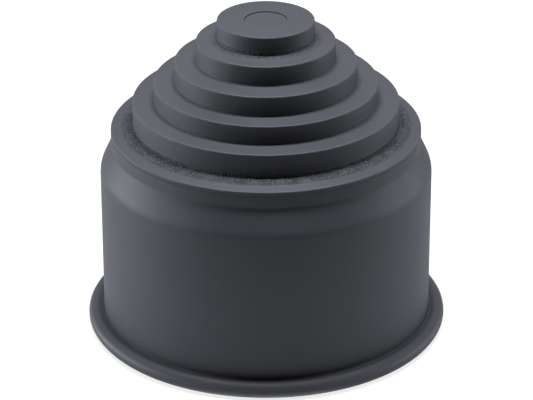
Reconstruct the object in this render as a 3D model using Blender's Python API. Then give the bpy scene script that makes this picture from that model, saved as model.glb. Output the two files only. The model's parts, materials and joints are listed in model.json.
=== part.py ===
"""Portable mini washer: a sealed floating pod with a stepped hood, a rolled base rim and an impeller below.

The frame stands on the rim, +Z up, origin on the axis at the rim's flat underside. The front is -Y.
Every size below is in millimetres times MM, so the scene itself is in metres.
"""

import math

import bmesh
import bpy
from mathutils import Matrix, Vector

MM = 0.001
GAP = 0.3 * MM  # room kept between separate pieces that touch on the real object

# Driving dimensions of the casing. A tier is its radius, the height of its top edge and the height of its
# wall's foot: each ledge falls a little from the foot of the wall above it to its own edge
TIERS = (
    (17.4 * MM, 117.8 * MM, 111.0 * MM),
    (24.9 * MM, 110.0 * MM, 102.8 * MM),
    (32.7 * MM, 102.0 * MM, 94.6 * MM),
    (40.3 * MM, 94.3 * MM, 87.3 * MM),
    (47.9 * MM, 87.0 * MM, 78.2 * MM),
    (55.9 * MM, 76.6 * MM, 70.3 * MM),
)
BODY_R = 60.0 * MM
WALL = 2.5 * MM
SHOULDER_Z = 61.6 * MM
SEAM_BELOW_TIER = 1.5 * MM
SKIRT_FOOT_Z = 64.0 * MM
RIM_R = 3.0 * MM
RIM_CENTRE_R = 62.7 * MM

# Round pieces share one angular phase, so that coaxial facets line up
ROUND = 32
FINE = 16
SMALL = 8

# Wash side
PLATE_Z = 16.8 * MM
PLATE_T = 2.8 * MM
PLATE_TOP_Z = PLATE_Z + PLATE_T
PLATE_R = 57.1 * MM
GRILLE_Z = 3.0 * MM
GRILLE_T = 2.2 * MM
IMPELLER_R = 42.0 * MM
SHAFT_R = 3.0 * MM

# Gear train: the motor stands off the axis by the gears' centre distance
MODULE = 1.0 * MM
GEAR_TEETH = 36
PINION_TEETH = 12
PRESSURE = math.radians(20)
BACKLASH = 0.24 * MM
GEAR_Z = 33.0 * MM
GEAR_T = 4.5 * MM
MOTOR_Y = -((GEAR_TEETH + PINION_TEETH) * MODULE / 2 + 0.1 * MM)
CASE_TOP_Z = 40.6 * MM
MOTOR_PLATE_Z = CASE_TOP_Z + GAP
MOTOR_PLATE_T = 2.5 * MM
MOTOR_PLATE_TOP_Z = MOTOR_PLATE_Z + MOTOR_PLATE_T
MOTOR_R = 14.0 * MM
MOTOR_TOP_Z = 72.0 * MM

# Dry side
CRADLE_TOP_Z = 21.7 * MM
BUS_T = 0.6 * MM
CELL_R = 9.2 * MM
CELL_H = 50.0 * MM
CELL_Z = CRADLE_TOP_Z + BUS_T + 2 * GAP
CELL_RING_R = 38.0 * MM
CELL_ANGLES = (30, 90, 150)
TOP_PLATE_Z = 76.0 * MM
TOP_PLATE_T = 2.2 * MM
TOP_PLATE_R = 44.6 * MM
BOARD_Z = 82.0 * MM
BOARD_T = 1.6 * MM
BOARD_R = 42.0 * MM
BUTTON_R = 7.3 * MM
BUTTON_RECESS = 0.35 * MM
BUTTON_TRAVEL = 1.5 * MM

# Fasteners, by ring radius and angles
POST_RING_R = 41.0 * MM
CRADLE_POST_ANGLES = (60, 120)
PLATE_POST_ANGLES = (215, 325)
CASE_SCREW_RING_R = 24.0 * MM
CASE_SCREW_ANGLES = (60, 120, 195, 345)
BASE_SCREW_RING_R = 53.4 * MM
BASE_SCREW_ANGLES = (90, 210, 330)
BOARD_SCREW_RING_R = 34.5 * MM
BOARD_SCREW_ANGLES = (45, 135, 270)
MOTOR_SCREW_X = 7.2 * MM

COLOURS = {
    # name: (colour, roughness, metallic)
    "casing": ((0.095, 0.098, 0.107), 0.55, 0.0),
    "rim": ((0.080, 0.082, 0.088), 0.62, 0.0),
    "seal": ((0.020, 0.020, 0.022), 0.50, 0.0),
    "inner_plastic": ((0.300, 0.310, 0.320), 0.50, 0.0),
    "impeller": ((0.550, 0.570, 0.600), 0.35, 0.0),
    "nylon": ((0.780, 0.760, 0.700), 0.45, 0.0),
    "steel": ((0.600, 0.600, 0.610), 0.30, 1.0),
    "bronze": ((0.550, 0.360, 0.180), 0.40, 1.0),
    "copper": ((0.720, 0.330, 0.180), 0.35, 1.0),
    "magnet": ((0.060, 0.060, 0.065), 0.45, 0.0),
    "cell_wrap": ((0.050, 0.160, 0.380), 0.35, 0.0),
    "board": ((0.020, 0.160, 0.070), 0.40, 0.0),
    "component": ((0.030, 0.030, 0.035), 0.40, 0.0),
    "red_wire": ((0.550, 0.030, 0.025), 0.45, 0.0),
    "black_wire": ((0.025, 0.025, 0.027), 0.45, 0.0),
}


def clear_scene():
    for obj in list(bpy.data.objects):
        bpy.data.objects.remove(obj)


def material(name):
    found = bpy.data.materials.get(name)
    if found:
        return found
    colour, roughness, metallic = COLOURS[name]
    made = bpy.data.materials.new(name)
    made.use_nodes = True
    shader = made.node_tree.nodes["Principled BSDF"]
    shader.inputs["Base Color"].default_value = (*colour, 1.0)
    shader.inputs["Roughness"].default_value = roughness
    shader.inputs["Metallic"].default_value = metallic
    return made


def place(bm, name, material_name, at=(0, 0, 0), turn=0.0):
    """Makes an object of bm, with its origin at the point given and turned about +Z by turn degrees."""
    bmesh.ops.recalc_face_normals(bm, faces=bm.faces)
    mesh = bpy.data.meshes.new(name)
    bm.to_mesh(mesh)
    bm.free()
    mesh.shade_smooth()
    mesh.set_sharp_from_angle(angle=math.radians(30))
    obj = bpy.data.objects.new(name, mesh)
    bpy.context.scene.collection.objects.link(obj)
    obj.location = at
    obj.rotation_euler = (0, 0, math.radians(turn))
    if material_name:
        mesh.materials.append(material(material_name))
    return obj


def hide(obj):
    """A helper that cuts or joins: the build leaves it out."""
    obj.hide_render = True
    obj.display_type = "WIRE"
    return obj


def boolean(obj, other, operation):
    modifier = obj.modifiers.new(operation.lower(), "BOOLEAN")
    modifier.operation = operation
    modifier.solver = "EXACT"
    modifier.object = hide(other)
    return obj


def polar(radius, degrees, z=0.0):
    angle = math.radians(degrees)
    return Vector((radius * math.cos(angle), radius * math.sin(angle), z))


def around(radius, angles, z=0.0):
    return [polar(radius, degrees, z) for degrees in angles]


def spun(bm, profile, segments, centre=(0, 0, 0)):
    """Adds the solid that a closed (radius, height) profile sweeps about +Z through centre."""
    cx, cy, cz = centre
    verts = [bm.verts.new((cx + r, cy, cz + z)) for r, z in profile]
    edges = [bm.edges.new((verts[i - 1], verts[i])) for i in range(len(verts))]
    bmesh.ops.spin(
        bm, geom=verts + edges, cent=centre, axis=(0, 0, 1), angle=2 * math.pi, steps=segments, use_merge=True
    )
    bmesh.ops.remove_doubles(bm, verts=bm.verts, dist=1e-7)


def lathe(name, profile, material_name, segments=ROUND, at=(0, 0, 0)):
    bm = bmesh.new()
    spun(bm, profile, segments)
    return place(bm, name, material_name, at)


def lathe_copies(name, profile, points, material_name, segments=SMALL):
    """One turned object at each point, numbered from 1. They share a mesh."""
    first = lathe(f"{name}_1", profile, material_name, segments, points[0])
    for number, point in enumerate(points[1:], 2):
        copy = bpy.data.objects.new(f"{name}_{number}", first.data)
        copy.location = point
        bpy.context.scene.collection.objects.link(copy)


def lathe_helper(name, profile, points, segments=SMALL):
    """One object to cut or join with, which holds a turned solid at each point."""
    bm = bmesh.new()
    for point in points:
        spun(bm, profile, segments, tuple(point))
    return place(bm, name, None)


def cylinder(radius, low, high):
    return [(0, low), (radius, low), (radius, high), (0, high)]


def tube(inner, outer, low, high):
    return [(inner, low), (outer, low), (outer, high), (inner, high)]


def arc(centre_r, centre_z, radius, start, end, steps):
    """Points of a (radius, height) arc, its angles in degrees from the outward direction."""
    points = []
    for i in range(steps + 1):
        angle = math.radians(start + (end - start) * i / steps)
        points.append((centre_r + radius * math.cos(angle), centre_z + radius * math.sin(angle)))
    return points


def extruded(bm, outline, low, high, centre=(0, 0), turn=0.0):
    """Adds the prism of an (x, y) outline."""
    spin = Matrix.Rotation(math.radians(turn), 4, "Z")
    shift = Vector((centre[0], centre[1], 0))
    verts = [bm.verts.new(spin @ Vector((x, y, low)) + shift) for x, y in outline]
    face = bm.faces.new(verts)
    top = bmesh.ops.extrude_face_region(bm, geom=[face])["geom"]
    moved = [item for item in top if isinstance(item, bmesh.types.BMVert)]
    bmesh.ops.translate(bm, verts=moved, vec=(0, 0, high - low))


def prism(name, outline, low, high, material_name, at=(0, 0, 0), turn=0.0):
    bm = bmesh.new()
    extruded(bm, outline, low, high)
    return place(bm, name, material_name, at, turn)


def hollow_prism(bm, outer, inner, low, high):
    """Adds a wall between two (x, y) outlines that have the same number of points."""
    count = len(outer)
    loops = [
        [bm.verts.new((x, y, z)) for x, y in line]
        for line, z in ((outer, low), (outer, high), (inner, high), (inner, low))
    ]
    for a, b in zip(loops, loops[1:] + loops[:1]):
        for i in range(count):
            j = (i + 1) % count
            bm.faces.new((a[i], a[j], b[j], b[i]))


def box_outline(width, depth, x=0.0, y=0.0):
    w, d = width / 2, depth / 2
    return [(x - w, y - d), (x + w, y - d), (x + w, y + d), (x - w, y + d)]


def sector(inner, outer, start, end, steps):
    """The outline of an arc-shaped plate."""
    angles = [start + (end - start) * i / steps for i in range(steps + 1)]
    out = [polar(outer, a) for a in angles]
    back = [polar(inner, a) for a in reversed(angles)]
    return [(p.x, p.y) for p in out + back]


def circle_outline(radius, segments, x=0.0, y=0.0):
    points = around(radius, [360 * i / segments for i in range(segments)])
    return [(x + p.x, y + p.y) for p in points]


def two_circle_outline(big, small, y, steps=12):
    """The outline that a belt round two circles follows: one at the origin, one on the Y axis."""
    lean = math.degrees(math.asin((big - small) / abs(y)))
    points = []
    for i in range(2 * steps + 1):
        points.append(polar(big, -lean + (180 + 2 * lean) * i / (2 * steps)))
    for i in range(steps + 1):
        point = polar(small, 180 + lean + (180 - 2 * lean) * i / steps)
        points.append(point + Vector((0, y, 0)))
    return [(p.x, p.y) for p in points]


# ---------------------------------------------------------------- casing

COLLAR_R, COLLAR_TOP_Z, COLLAR_FOOT_Z = TIERS[-1]
SEAM_Z = COLLAR_TOP_Z - SEAM_BELOW_TIER
SKIRT_R = COLLAR_R - WALL - GAP
SEAL_Z = 72.4 * MM
SEAL_R = 0.6 * MM
SEAL_PLAY = 0.3 * MM
GROOVE_T = 1.3 * MM

BUTTON_HOLE_R = BUTTON_R + 0.25 * MM
HOOD_TOP_Z = TIERS[0][1]
BOSS_IN = 9.4 * MM
BOSS_OUT = 11.2 * MM
BOSS_FOOT_Z = 106.9 * MM
FLANGE_TOP_Z = HOOD_TOP_Z - WALL - GAP
FLANGE_T = 1.6 * MM
STEM_R = 2.2 * MM


def hood_profile():
    """The stepped wall with its skirt, from the button's hole outward and back along the inside."""
    points = [(BUTTON_HOLE_R, HOOD_TOP_Z)]
    for radius, top, foot in TIERS[:-1]:
        points += [(radius, top), (radius, foot)]
    seal_low, seal_high = SEAL_Z - SEAL_R - SEAL_PLAY, SEAL_Z + SEAL_R + SEAL_PLAY
    points += [
        (COLLAR_R, COLLAR_TOP_Z),
        (COLLAR_R, SEAM_Z),
        (SKIRT_R, SEAM_Z),
        (SKIRT_R, seal_high),
        (SKIRT_R - GROOVE_T, seal_high),
        (SKIRT_R - GROOVE_T, seal_low),
        (SKIRT_R, seal_low),
        (SKIRT_R, SKIRT_FOOT_Z),
        (SKIRT_R - WALL, SKIRT_FOOT_Z),
        (SKIRT_R - WALL, COLLAR_TOP_Z - WALL),
    ]
    for (radius, top, _), (_, ledge, _) in zip(TIERS[-2::-1], TIERS[:0:-1]):
        points += [(radius - WALL, ledge - WALL), (radius - WALL, top - WALL)]
    points += [
        (BOSS_OUT, HOOD_TOP_Z - WALL),
        (BOSS_OUT, BOSS_FOOT_Z),
        (BOSS_IN, BOSS_FOOT_Z),
        (BOSS_IN, HOOD_TOP_Z - WALL),
        (BUTTON_HOLE_R, HOOD_TOP_Z - WALL),
    ]
    return points


def seal_profile(outer_r, z):
    """A round-section ring whose outside stands at outer_r."""
    return arc(outer_r - SEAL_R, z, SEAL_R, 0, 288, 4)


def make_hood():
    lathe("stepped_hood", hood_profile(), "casing")
    lathe("hood_seal", seal_profile(SKIRT_R + GAP / 2, SEAL_Z), "seal")


def make_button():
    """The flush button in the top tier, its spring, and the clip that holds both in the hood's boss."""
    flange_r = BOSS_IN - GAP
    flange_foot = FLANGE_TOP_Z - FLANGE_T
    lathe(
        "power_button",
        [
            (0, PLUNGER_TOP_Z + GAP),
            (STEM_R, PLUNGER_TOP_Z + GAP),
            (STEM_R, flange_foot),
            (flange_r, flange_foot),
            (flange_r, FLANGE_TOP_Z),
            (BUTTON_R, FLANGE_TOP_Z),
            (BUTTON_R, HOOD_TOP_Z - BUTTON_RECESS),
            (0, HOOD_TOP_Z - BUTTON_RECESS),
        ],
        "casing",
        FINE,
    )
    clip_in = STEM_R + 0.5 * MM
    clip_foot = BOSS_FOOT_Z - GAP - 1.0 * MM
    clip_top = BOSS_FOOT_Z + 1.0 * MM
    lathe(
        "button_clip",
        [
            (clip_in, clip_foot),
            (BOSS_OUT, clip_foot),
            (BOSS_OUT, BOSS_FOOT_Z - GAP),
            (BOSS_IN - GAP, BOSS_FOOT_Z - GAP),
            (BOSS_IN - GAP, clip_top),
            (clip_in, clip_top),
        ],
        "inner_plastic",
        FINE,
    )
    wire = 0.4 * MM
    turns = 3.5
    steps_per_turn = 10
    low, high = clip_top + GAP + wire, flange_foot - GAP - wire
    count = round(turns * steps_per_turn)
    path = [
        polar(5.2 * MM, 360 * i / steps_per_turn, low + (high - low) * i / count) for i in range(count + 1)
    ]
    wire_along("button_spring", path, wire, "steel")


def wire_along(name, path, radius, material_name):
    """A round wire that follows a path of points, its ends closed."""
    curve = bpy.data.curves.new(name, "CURVE")
    curve.dimensions = "3D"
    curve.bevel_depth = radius
    curve.bevel_resolution = 1
    curve.use_fill_caps = True
    spline = curve.splines.new("POLY")
    spline.points.add(len(path) - 1)
    for point, at in zip(spline.points, path):
        point.co = (*at, 1)
    curve.materials.append(material(material_name))
    bpy.context.scene.collection.objects.link(bpy.data.objects.new(name, curve))


TAB_ANGLES = (30, 150, 270)
TAB_HALF = 15
TAB_IN_R = 54.3 * MM
TAB_Z = 6.2 * MM
TAB_T = 2.2 * MM
SHELL_BOSS_R = 4.4 * MM
SHELL_BOSS_TOP_Z = 31.0 * MM


def make_body_shell():
    """The drum below the seam, with screw bosses for the base plate and three tabs that hold the guard."""
    foot = 1.5 * MM
    inside = BODY_R - WALL
    shell = lathe(
        "body_shell",
        [
            (BODY_R, foot),
            (BODY_R, SHOULDER_Z),
            (COLLAR_R, COLLAR_FOOT_Z),
            (COLLAR_R, SEAM_Z - GAP),
            (COLLAR_R - WALL, SEAM_Z - GAP),
            (COLLAR_R - WALL, COLLAR_FOOT_Z - 1.0 * MM),
            (inside, SHOULDER_Z - 1.0 * MM),
            (inside, foot),
        ],
        "casing",
    )
    boss_foot = PLATE_TOP_Z + GAP
    ring = around(BASE_SCREW_RING_R, BASE_SCREW_ANGLES)
    bosses = lathe_helper("shell_bosses", cylinder(SHELL_BOSS_R, boss_foot, SHELL_BOSS_TOP_Z), ring)
    boolean(shell, bosses, "UNION")
    tabs = bmesh.new()
    for middle in TAB_ANGLES:
        outline = sector(TAB_IN_R, BODY_R - 1.0 * MM, middle - TAB_HALF, middle + TAB_HALF, 4)
        extruded(tabs, outline, TAB_Z, TAB_Z + TAB_T)
    boolean(shell, place(tabs, "shell_tabs", None), "UNION")
    hole = cylinder(1.6 * MM, boss_foot - 1.0 * MM, SHELL_BOSS_TOP_Z - 2.0 * MM)
    boolean(shell, lathe_helper("shell_holes", hole, ring), "DIFFERENCE")


def make_rim():
    """The soft bumper bead that wraps the foot of the drum, flat underneath."""
    inner_r = 56.4 * MM
    leg_top = 4.6 * MM
    slot_foot = 1.2 * MM
    leg_out = BODY_R - WALL - GAP
    slot_out = BODY_R + GAP
    crease = round(math.degrees(math.acos((slot_out - RIM_CENTRE_R) / RIM_R)) / 30) * 30
    bead = arc(RIM_CENTRE_R, RIM_R, RIM_R, crease, -90, (crease + 90) // 30)
    leg = [(inner_r, 0), (inner_r, leg_top), (leg_out, leg_top), (leg_out, slot_foot), (slot_out, slot_foot)]
    lathe("base_rim", leg + bead, "rim")


# ---------------------------------------------------------------- wash side

GRILLE_BARS = ((8.6 * MM, 11.6 * MM), (20.4 * MM, 22.4 * MM), (33.6 * MM, 35.6 * MM), (47.2 * MM, 50.6 * MM))
GRILLE_SPOKES = 12
GUARD_EDGE_OUT = 55.6 * MM
GUARD_RING_IN = GRILLE_BARS[-1][1] + GAP
GUARD_RING_OUT = GUARD_RING_IN + 2.4 * MM
LUG_HALF = 10
LUG_OUT_R = 56.2 * MM
LUG_T = 1.8 * MM


def make_guard():
    """The flat grille under the impeller, held in a bayonet ring with three lugs."""
    top = GRILLE_Z + GRILLE_T
    inner, outer = GRILLE_BARS[-1]
    grille = lathe("guard_grille", tube(inner, outer, GRILLE_Z, top), "casing")
    bars = bmesh.new()
    for inner, outer in GRILLE_BARS[:-1]:
        spun(bars, tube(inner, outer, GRILLE_Z, top), ROUND)
    boolean(grille, place(bars, "grille_bars", None), "UNION")
    spokes = bmesh.new()
    inner, outer = 10.0 * MM, 48.0 * MM
    for i in range(GRILLE_SPOKES):
        spoke = box_outline(outer - inner, 1.7 * MM, x=(inner + outer) / 2)
        extruded(spokes, spoke, GRILLE_Z + 0.3 * MM, top - 0.3 * MM, turn=360 * (i + 0.5) / GRILLE_SPOKES)
    boolean(grille, place(spokes, "grille_spokes", None), "UNION")

    lug_z = TAB_Z + TAB_T + 0.4 * MM
    ring = lathe(
        "guard_ring",
        [
            (GUARD_RING_IN, GRILLE_Z),
            (GUARD_EDGE_OUT, GRILLE_Z),
            (GUARD_EDGE_OUT, top),
            (GUARD_RING_OUT, top),
            (GUARD_RING_OUT, lug_z + LUG_T),
            (GUARD_RING_IN, lug_z + LUG_T),
        ],
        "casing",
    )
    lugs = bmesh.new()
    for middle in TAB_ANGLES:
        outline = sector(GUARD_RING_IN + 0.8 * MM, LUG_OUT_R, middle - LUG_HALF, middle + LUG_HALF, 3)
        extruded(lugs, outline, lug_z, lug_z + LUG_T - 0.2 * MM)
    boolean(ring, place(lugs, "ring_lugs", None), "UNION")


def blade_outline(inner, outer, thickness, sweep):
    """A swept-back blade seen from above: it lags by sweep degrees at its tip."""
    steps = 5
    near, far = [], []
    for i in range(steps + 1):
        share = i / steps
        radius = inner + (outer - inner) * share
        half = math.degrees(thickness / 2 / radius)
        lag = -sweep * share**1.4
        near.append(polar(radius, lag - half))
        far.append(polar(radius, lag + half))
    return [(p.x, p.y) for p in near + far[::-1]]


def make_impeller():
    disc_low, disc_high = 13.2 * MM, 15.0 * MM
    hub_foot, hub_top = 7.4 * MM, 16.2 * MM
    hub_r = 7.4 * MM
    bore = SHAFT_R + 0.15 * MM
    wheel = lathe(
        "impeller",
        [
            (bore, hub_foot),
            (hub_r, hub_foot),
            (hub_r + 1.5 * MM, disc_low),
            (IMPELLER_R, disc_low + 0.4 * MM),
            (IMPELLER_R, disc_high),
            (hub_r, disc_high),
            (hub_r, hub_top),
            (bore, hub_top),
        ],
        "impeller",
    )
    blades = bmesh.new()
    count = 6
    outline = blade_outline(hub_r - 0.6 * MM, IMPELLER_R - 0.6 * MM, 2.0 * MM, 32)
    for i in range(count):
        extruded(blades, outline, hub_foot - 0.4 * MM, disc_low + 1.0 * MM, turn=360 * i / count)
    boolean(wheel, place(blades, "impeller_blades", None), "UNION")
    nut = bmesh.new()
    hexagon, hole = circle_outline(4.6 * MM, 6), circle_outline(SHAFT_R + 0.6 * MM, 6)
    hollow_prism(nut, hexagon, hole, 5.6 * MM, hub_foot - GAP)
    place(nut, "impeller_nut", "steel")


HUB_R = 12.5 * MM
HUB_TOP_Z = 31.0 * MM
SEAL_SEAT_R = 8.3 * MM
SEAL_SEAT_TOP = 22.0 * MM
BUSH_R = 5.2 * MM
BUSH_SEAT_FOOT = 24.2 * MM
CASE_R = 20.6 * MM
CASE_END_R = 10.8 * MM
CASE_WALL = 2.0 * MM
COLUMN_R = 3.0 * MM
POST_R = 3.4 * MM
POST_TOP_Z = TOP_PLATE_Z - GAP
POST_HOLE_DEPTH = 9.0 * MM


def case_outline(margin):
    """The hull of the output gear's room and the pinion's room."""
    return two_circle_outline(CASE_R + margin, CASE_END_R + margin, MOTOR_Y)


def make_base_plate():
    """The bulkhead between the wet and dry sides, with the shaft's hub, the gear case and two posts."""
    groove_margin = 0.6 * MM
    groove_r = PLATE_R - 1.3 * MM
    plate = lathe(
        "base_plate",
        [
            (SEAL_SEAT_R, PLATE_Z),
            (PLATE_R, PLATE_Z),
            (PLATE_R, PLATE_Z + groove_margin),
            (groove_r, PLATE_Z + groove_margin),
            (groove_r, PLATE_TOP_Z - groove_margin),
            (PLATE_R, PLATE_TOP_Z - groove_margin),
            (PLATE_R, PLATE_TOP_Z),
            (HUB_R, PLATE_TOP_Z),
            (HUB_R, HUB_TOP_Z),
            (BUSH_R, HUB_TOP_Z),
            (BUSH_R, BUSH_SEAT_FOOT),
            (SHAFT_R + 0.5 * MM, BUSH_SEAT_FOOT),
            (SHAFT_R + 0.5 * MM, SEAL_SEAT_TOP),
            (SEAL_SEAT_R, SEAL_SEAT_TOP),
        ],
        "inner_plastic",
    )
    sunk = PLATE_TOP_Z - 1.0 * MM
    case = bmesh.new()
    hollow_prism(case, case_outline(CASE_WALL), case_outline(0), sunk, CASE_TOP_Z)
    boolean(plate, place(case, "gear_case", None), "UNION")
    case_ring = around(CASE_SCREW_RING_R, CASE_SCREW_ANGLES)
    post_ring = around(POST_RING_R, PLATE_POST_ANGLES)
    columns = bmesh.new()
    for point in case_ring:
        spun(columns, cylinder(COLUMN_R, sunk, CASE_TOP_Z - 0.1 * MM), SMALL, tuple(point))
    for point in post_ring:
        spun(columns, cylinder(POST_R, sunk, POST_TOP_Z), SMALL, tuple(point))
    boolean(plate, place(columns, "plate_columns", None), "UNION")
    holes = bmesh.new()
    for point in around(BASE_SCREW_RING_R, BASE_SCREW_ANGLES):
        spun(holes, cylinder(1.6 * MM, PLATE_Z - 1.0 * MM, PLATE_TOP_Z + 1.0 * MM), SMALL, tuple(point))
    for point in case_ring:
        spun(holes, cylinder(1.3 * MM, CASE_TOP_Z - 9.0 * MM, CASE_TOP_Z + 1.0 * MM), SMALL, tuple(point))
    for point in post_ring:
        spun(holes, post_hole(), SMALL, tuple(point))
    boolean(plate, place(holes, "plate_holes", None), "DIFFERENCE")
    lathe("base_seal", seal_profile(PLATE_R + 0.2 * MM, PLATE_Z + PLATE_T / 2), "seal")


def post_hole():
    return cylinder(1.3 * MM, POST_TOP_Z - POST_HOLE_DEPTH, POST_TOP_Z + 1.0 * MM)


def screw(head_r, head_t, shank_r, length):
    """A pan-head screw's profile, its head's underside at height 0 and its shank pointing down."""
    return [
        (0, -length),
        (shank_r, -length),
        (shank_r, 0),
        (head_r, 0),
        (head_r, head_t * 0.6),
        (head_r * 0.75, head_t),
        (0, head_t),
    ]


def upside_down(profile):
    return [(r, -z) for r, z in profile]


def make_base_screws():
    shape = upside_down(screw(2.8 * MM, 1.6 * MM, 1.35 * MM, 11.0 * MM))
    ring = around(BASE_SCREW_RING_R, BASE_SCREW_ANGLES, PLATE_Z - GAP)
    lathe_copies("base_screw", shape, ring, "steel")


def make_shaft_line():
    """The drive shaft with its lip seal, two bushes and the clip that holds the output gear."""
    foot = 4.9 * MM
    top = MOTOR_PLATE_TOP_Z + 0.2 * MM
    groove_z = GEAR_Z + GEAR_T + 0.5 * MM
    groove_r = 2.4 * MM
    groove_t = 0.9 * MM
    lathe(
        "drive_shaft",
        [
            (0, foot),
            (SHAFT_R - 0.4 * MM, foot),
            (SHAFT_R, foot + 0.4 * MM),
            (SHAFT_R, groove_z),
            (groove_r, groove_z),
            (groove_r, groove_z + groove_t),
            (SHAFT_R, groove_z + groove_t),
            (SHAFT_R, top),
            (0, top),
        ],
        "steel",
        FINE,
    )
    lip = SHAFT_R + 0.15 * MM
    seal_foot = 17.6 * MM
    seal_out = SEAL_SEAT_R - GAP
    lathe(
        "shaft_seal",
        [
            (lip, seal_foot + 1.0 * MM),
            (lip + 0.7 * MM, seal_foot),
            (seal_out, seal_foot),
            (seal_out, SEAL_SEAT_TOP - GAP),
            (lip + 1.5 * MM, SEAL_SEAT_TOP - GAP),
            (lip + 1.1 * MM, seal_foot + 1.8 * MM),
        ],
        "seal",
        FINE,
    )
    bush_out = BUSH_R - 0.2 * MM
    lathe("lower_bush", tube(lip, bush_out, BUSH_SEAT_FOOT + 0.2 * MM, HUB_TOP_Z + 0.2 * MM), "bronze", FINE)
    flange_top = MOTOR_PLATE_Z - 0.2 * MM
    flange_foot = flange_top - 0.8 * MM
    flange_r = BUSH_R + 0.8 * MM
    lathe(
        "upper_bush",
        [
            (lip, flange_foot),
            (flange_r, flange_foot),
            (flange_r, flange_top),
            (bush_out, flange_top),
            (bush_out, MOTOR_PLATE_TOP_Z),
            (lip, MOTOR_PLATE_TOP_Z),
        ],
        "bronze",
        FINE,
    )
    clip_z = groove_z + 0.15 * MM
    outline = sector(groove_r + 0.15 * MM, 4.9 * MM, 40, 320, 10)
    prism("gear_clip", outline, clip_z, clip_z + 0.6 * MM, "steel")


def involute(angle):
    return math.tan(angle) - angle


def gear_outline(teeth, first_tooth):
    """A spur gear's outline: stub involute teeth, the first one centred at first_tooth degrees."""
    pitch_r = teeth * MODULE / 2
    base_r = pitch_r * math.cos(PRESSURE)
    tip_r = pitch_r + 0.75 * MODULE
    root_r = pitch_r - 1.05 * MODULE

    def half_angle(radius):
        lean = math.acos(base_r / max(radius, base_r))
        at_pitch = math.pi / (2 * teeth) - BACKLASH / (2 * pitch_r)
        return math.degrees(at_pitch + involute(PRESSURE) - involute(lean))

    points = []
    for tooth in range(teeth):
        middle = first_tooth + 360 * tooth / teeth
        for radius in (root_r, pitch_r, tip_r):
            points.append(polar(radius, middle - half_angle(radius)))
        for radius in (tip_r, pitch_r, root_r):
            points.append(polar(radius, middle + half_angle(radius)))
    return [(p.x, p.y) for p in points]


def make_gears():
    """The pinion's tooth gap faces the output gear's tooth on the line between their axes."""
    facing_pinion = -90
    gear_top = GEAR_Z + GEAR_T
    hub_foot = HUB_TOP_Z + 0.6 * MM
    wheel = prism("output_gear", gear_outline(GEAR_TEETH, facing_pinion), GEAR_Z, gear_top, "nylon")
    hub = lathe("gear_hub", cylinder(6.4 * MM, hub_foot, GEAR_Z + 1.0 * MM), None, FINE)
    boolean(wheel, hub, "UNION")
    holes = bmesh.new()
    spun(holes, cylinder(SHAFT_R + 0.15 * MM, hub_foot - 1.0 * MM, gear_top + 1.0 * MM), FINE)
    for point in around(11.5 * MM, range(0, 360, 72)):
        spun(holes, cylinder(3.0 * MM, GEAR_Z - 1.0 * MM, gear_top + 1.0 * MM), SMALL, tuple(point))
    boolean(wheel, place(holes, "gear_holes", None), "DIFFERENCE")

    half_pitch = 180 / PINION_TEETH
    overhang = 0.5 * MM
    axis = (0, MOTOR_Y, 0)
    outline = gear_outline(PINION_TEETH, 90 + half_pitch)
    pinion = prism("pinion", outline, GEAR_Z - overhang, gear_top + overhang, "steel", axis)
    bore = cylinder(MOTOR_SHAFT_R + 0.15 * MM, GEAR_Z - 2.0 * MM, CASE_TOP_Z)
    boolean(pinion, lathe("pinion_bore", bore, None, FINE, axis), "DIFFERENCE")


# ---------------------------------------------------------------- motor

MOTOR_AT = (0, MOTOR_Y, 0)
MOTOR_SHAFT_R = 1.6 * MM
MOTOR_FOOT_Z = MOTOR_PLATE_TOP_Z + GAP
MOTOR_SCREWS = ((-MOTOR_SCREW_X, MOTOR_Y, 0), (MOTOR_SCREW_X, MOTOR_Y, 0))
CAN_T = 1.2 * MM
CAN_FLOOR_T = 2.0 * MM
CAP_Z = MOTOR_TOP_Z - 5.0 * MM
LEAD_X = 6.0 * MM


def make_motor_plate():
    """The gear case's lid, which carries the upper bush and the motor."""
    case_ring = around(CASE_SCREW_RING_R, CASE_SCREW_ANGLES)
    outline = two_circle_outline(CASE_R + CASE_WALL, CASE_END_R + CASE_WALL, MOTOR_Y)
    plate = prism("motor_plate", outline, MOTOR_PLATE_Z, MOTOR_PLATE_TOP_Z, "inner_plastic")
    ear = cylinder(COLUMN_R, MOTOR_PLATE_Z + 0.1 * MM, MOTOR_PLATE_TOP_Z - 0.1 * MM)
    boolean(plate, lathe_helper("plate_ears", ear, case_ring), "UNION")

    def through(radius):
        return cylinder(radius, MOTOR_PLATE_Z - 1.0 * MM, MOTOR_PLATE_TOP_Z + 1.0 * MM)

    holes = bmesh.new()
    spun(holes, through(BUSH_R), FINE)
    spun(holes, through(4.2 * MM), FINE, MOTOR_AT)
    for point in [*case_ring, *MOTOR_SCREWS]:
        spun(holes, through(1.4 * MM), SMALL, tuple(point))
    boolean(plate, place(holes, "motor_plate_holes", None), "DIFFERENCE")
    seats = around(CASE_SCREW_RING_R, CASE_SCREW_ANGLES, MOTOR_PLATE_TOP_Z + GAP)
    lathe_copies("case_screw", screw(2.5 * MM, 1.5 * MM, 1.0 * MM, 9.5 * MM), seats, "steel")
    heads = [(x, y, MOTOR_PLATE_Z - 0.2 * MM) for x, y, _ in MOTOR_SCREWS]
    shape = upside_down(screw(2.2 * MM, 1.2 * MM, 1.0 * MM, 5.0 * MM))
    lathe_copies("motor_screw", shape, heads, "steel")


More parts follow.
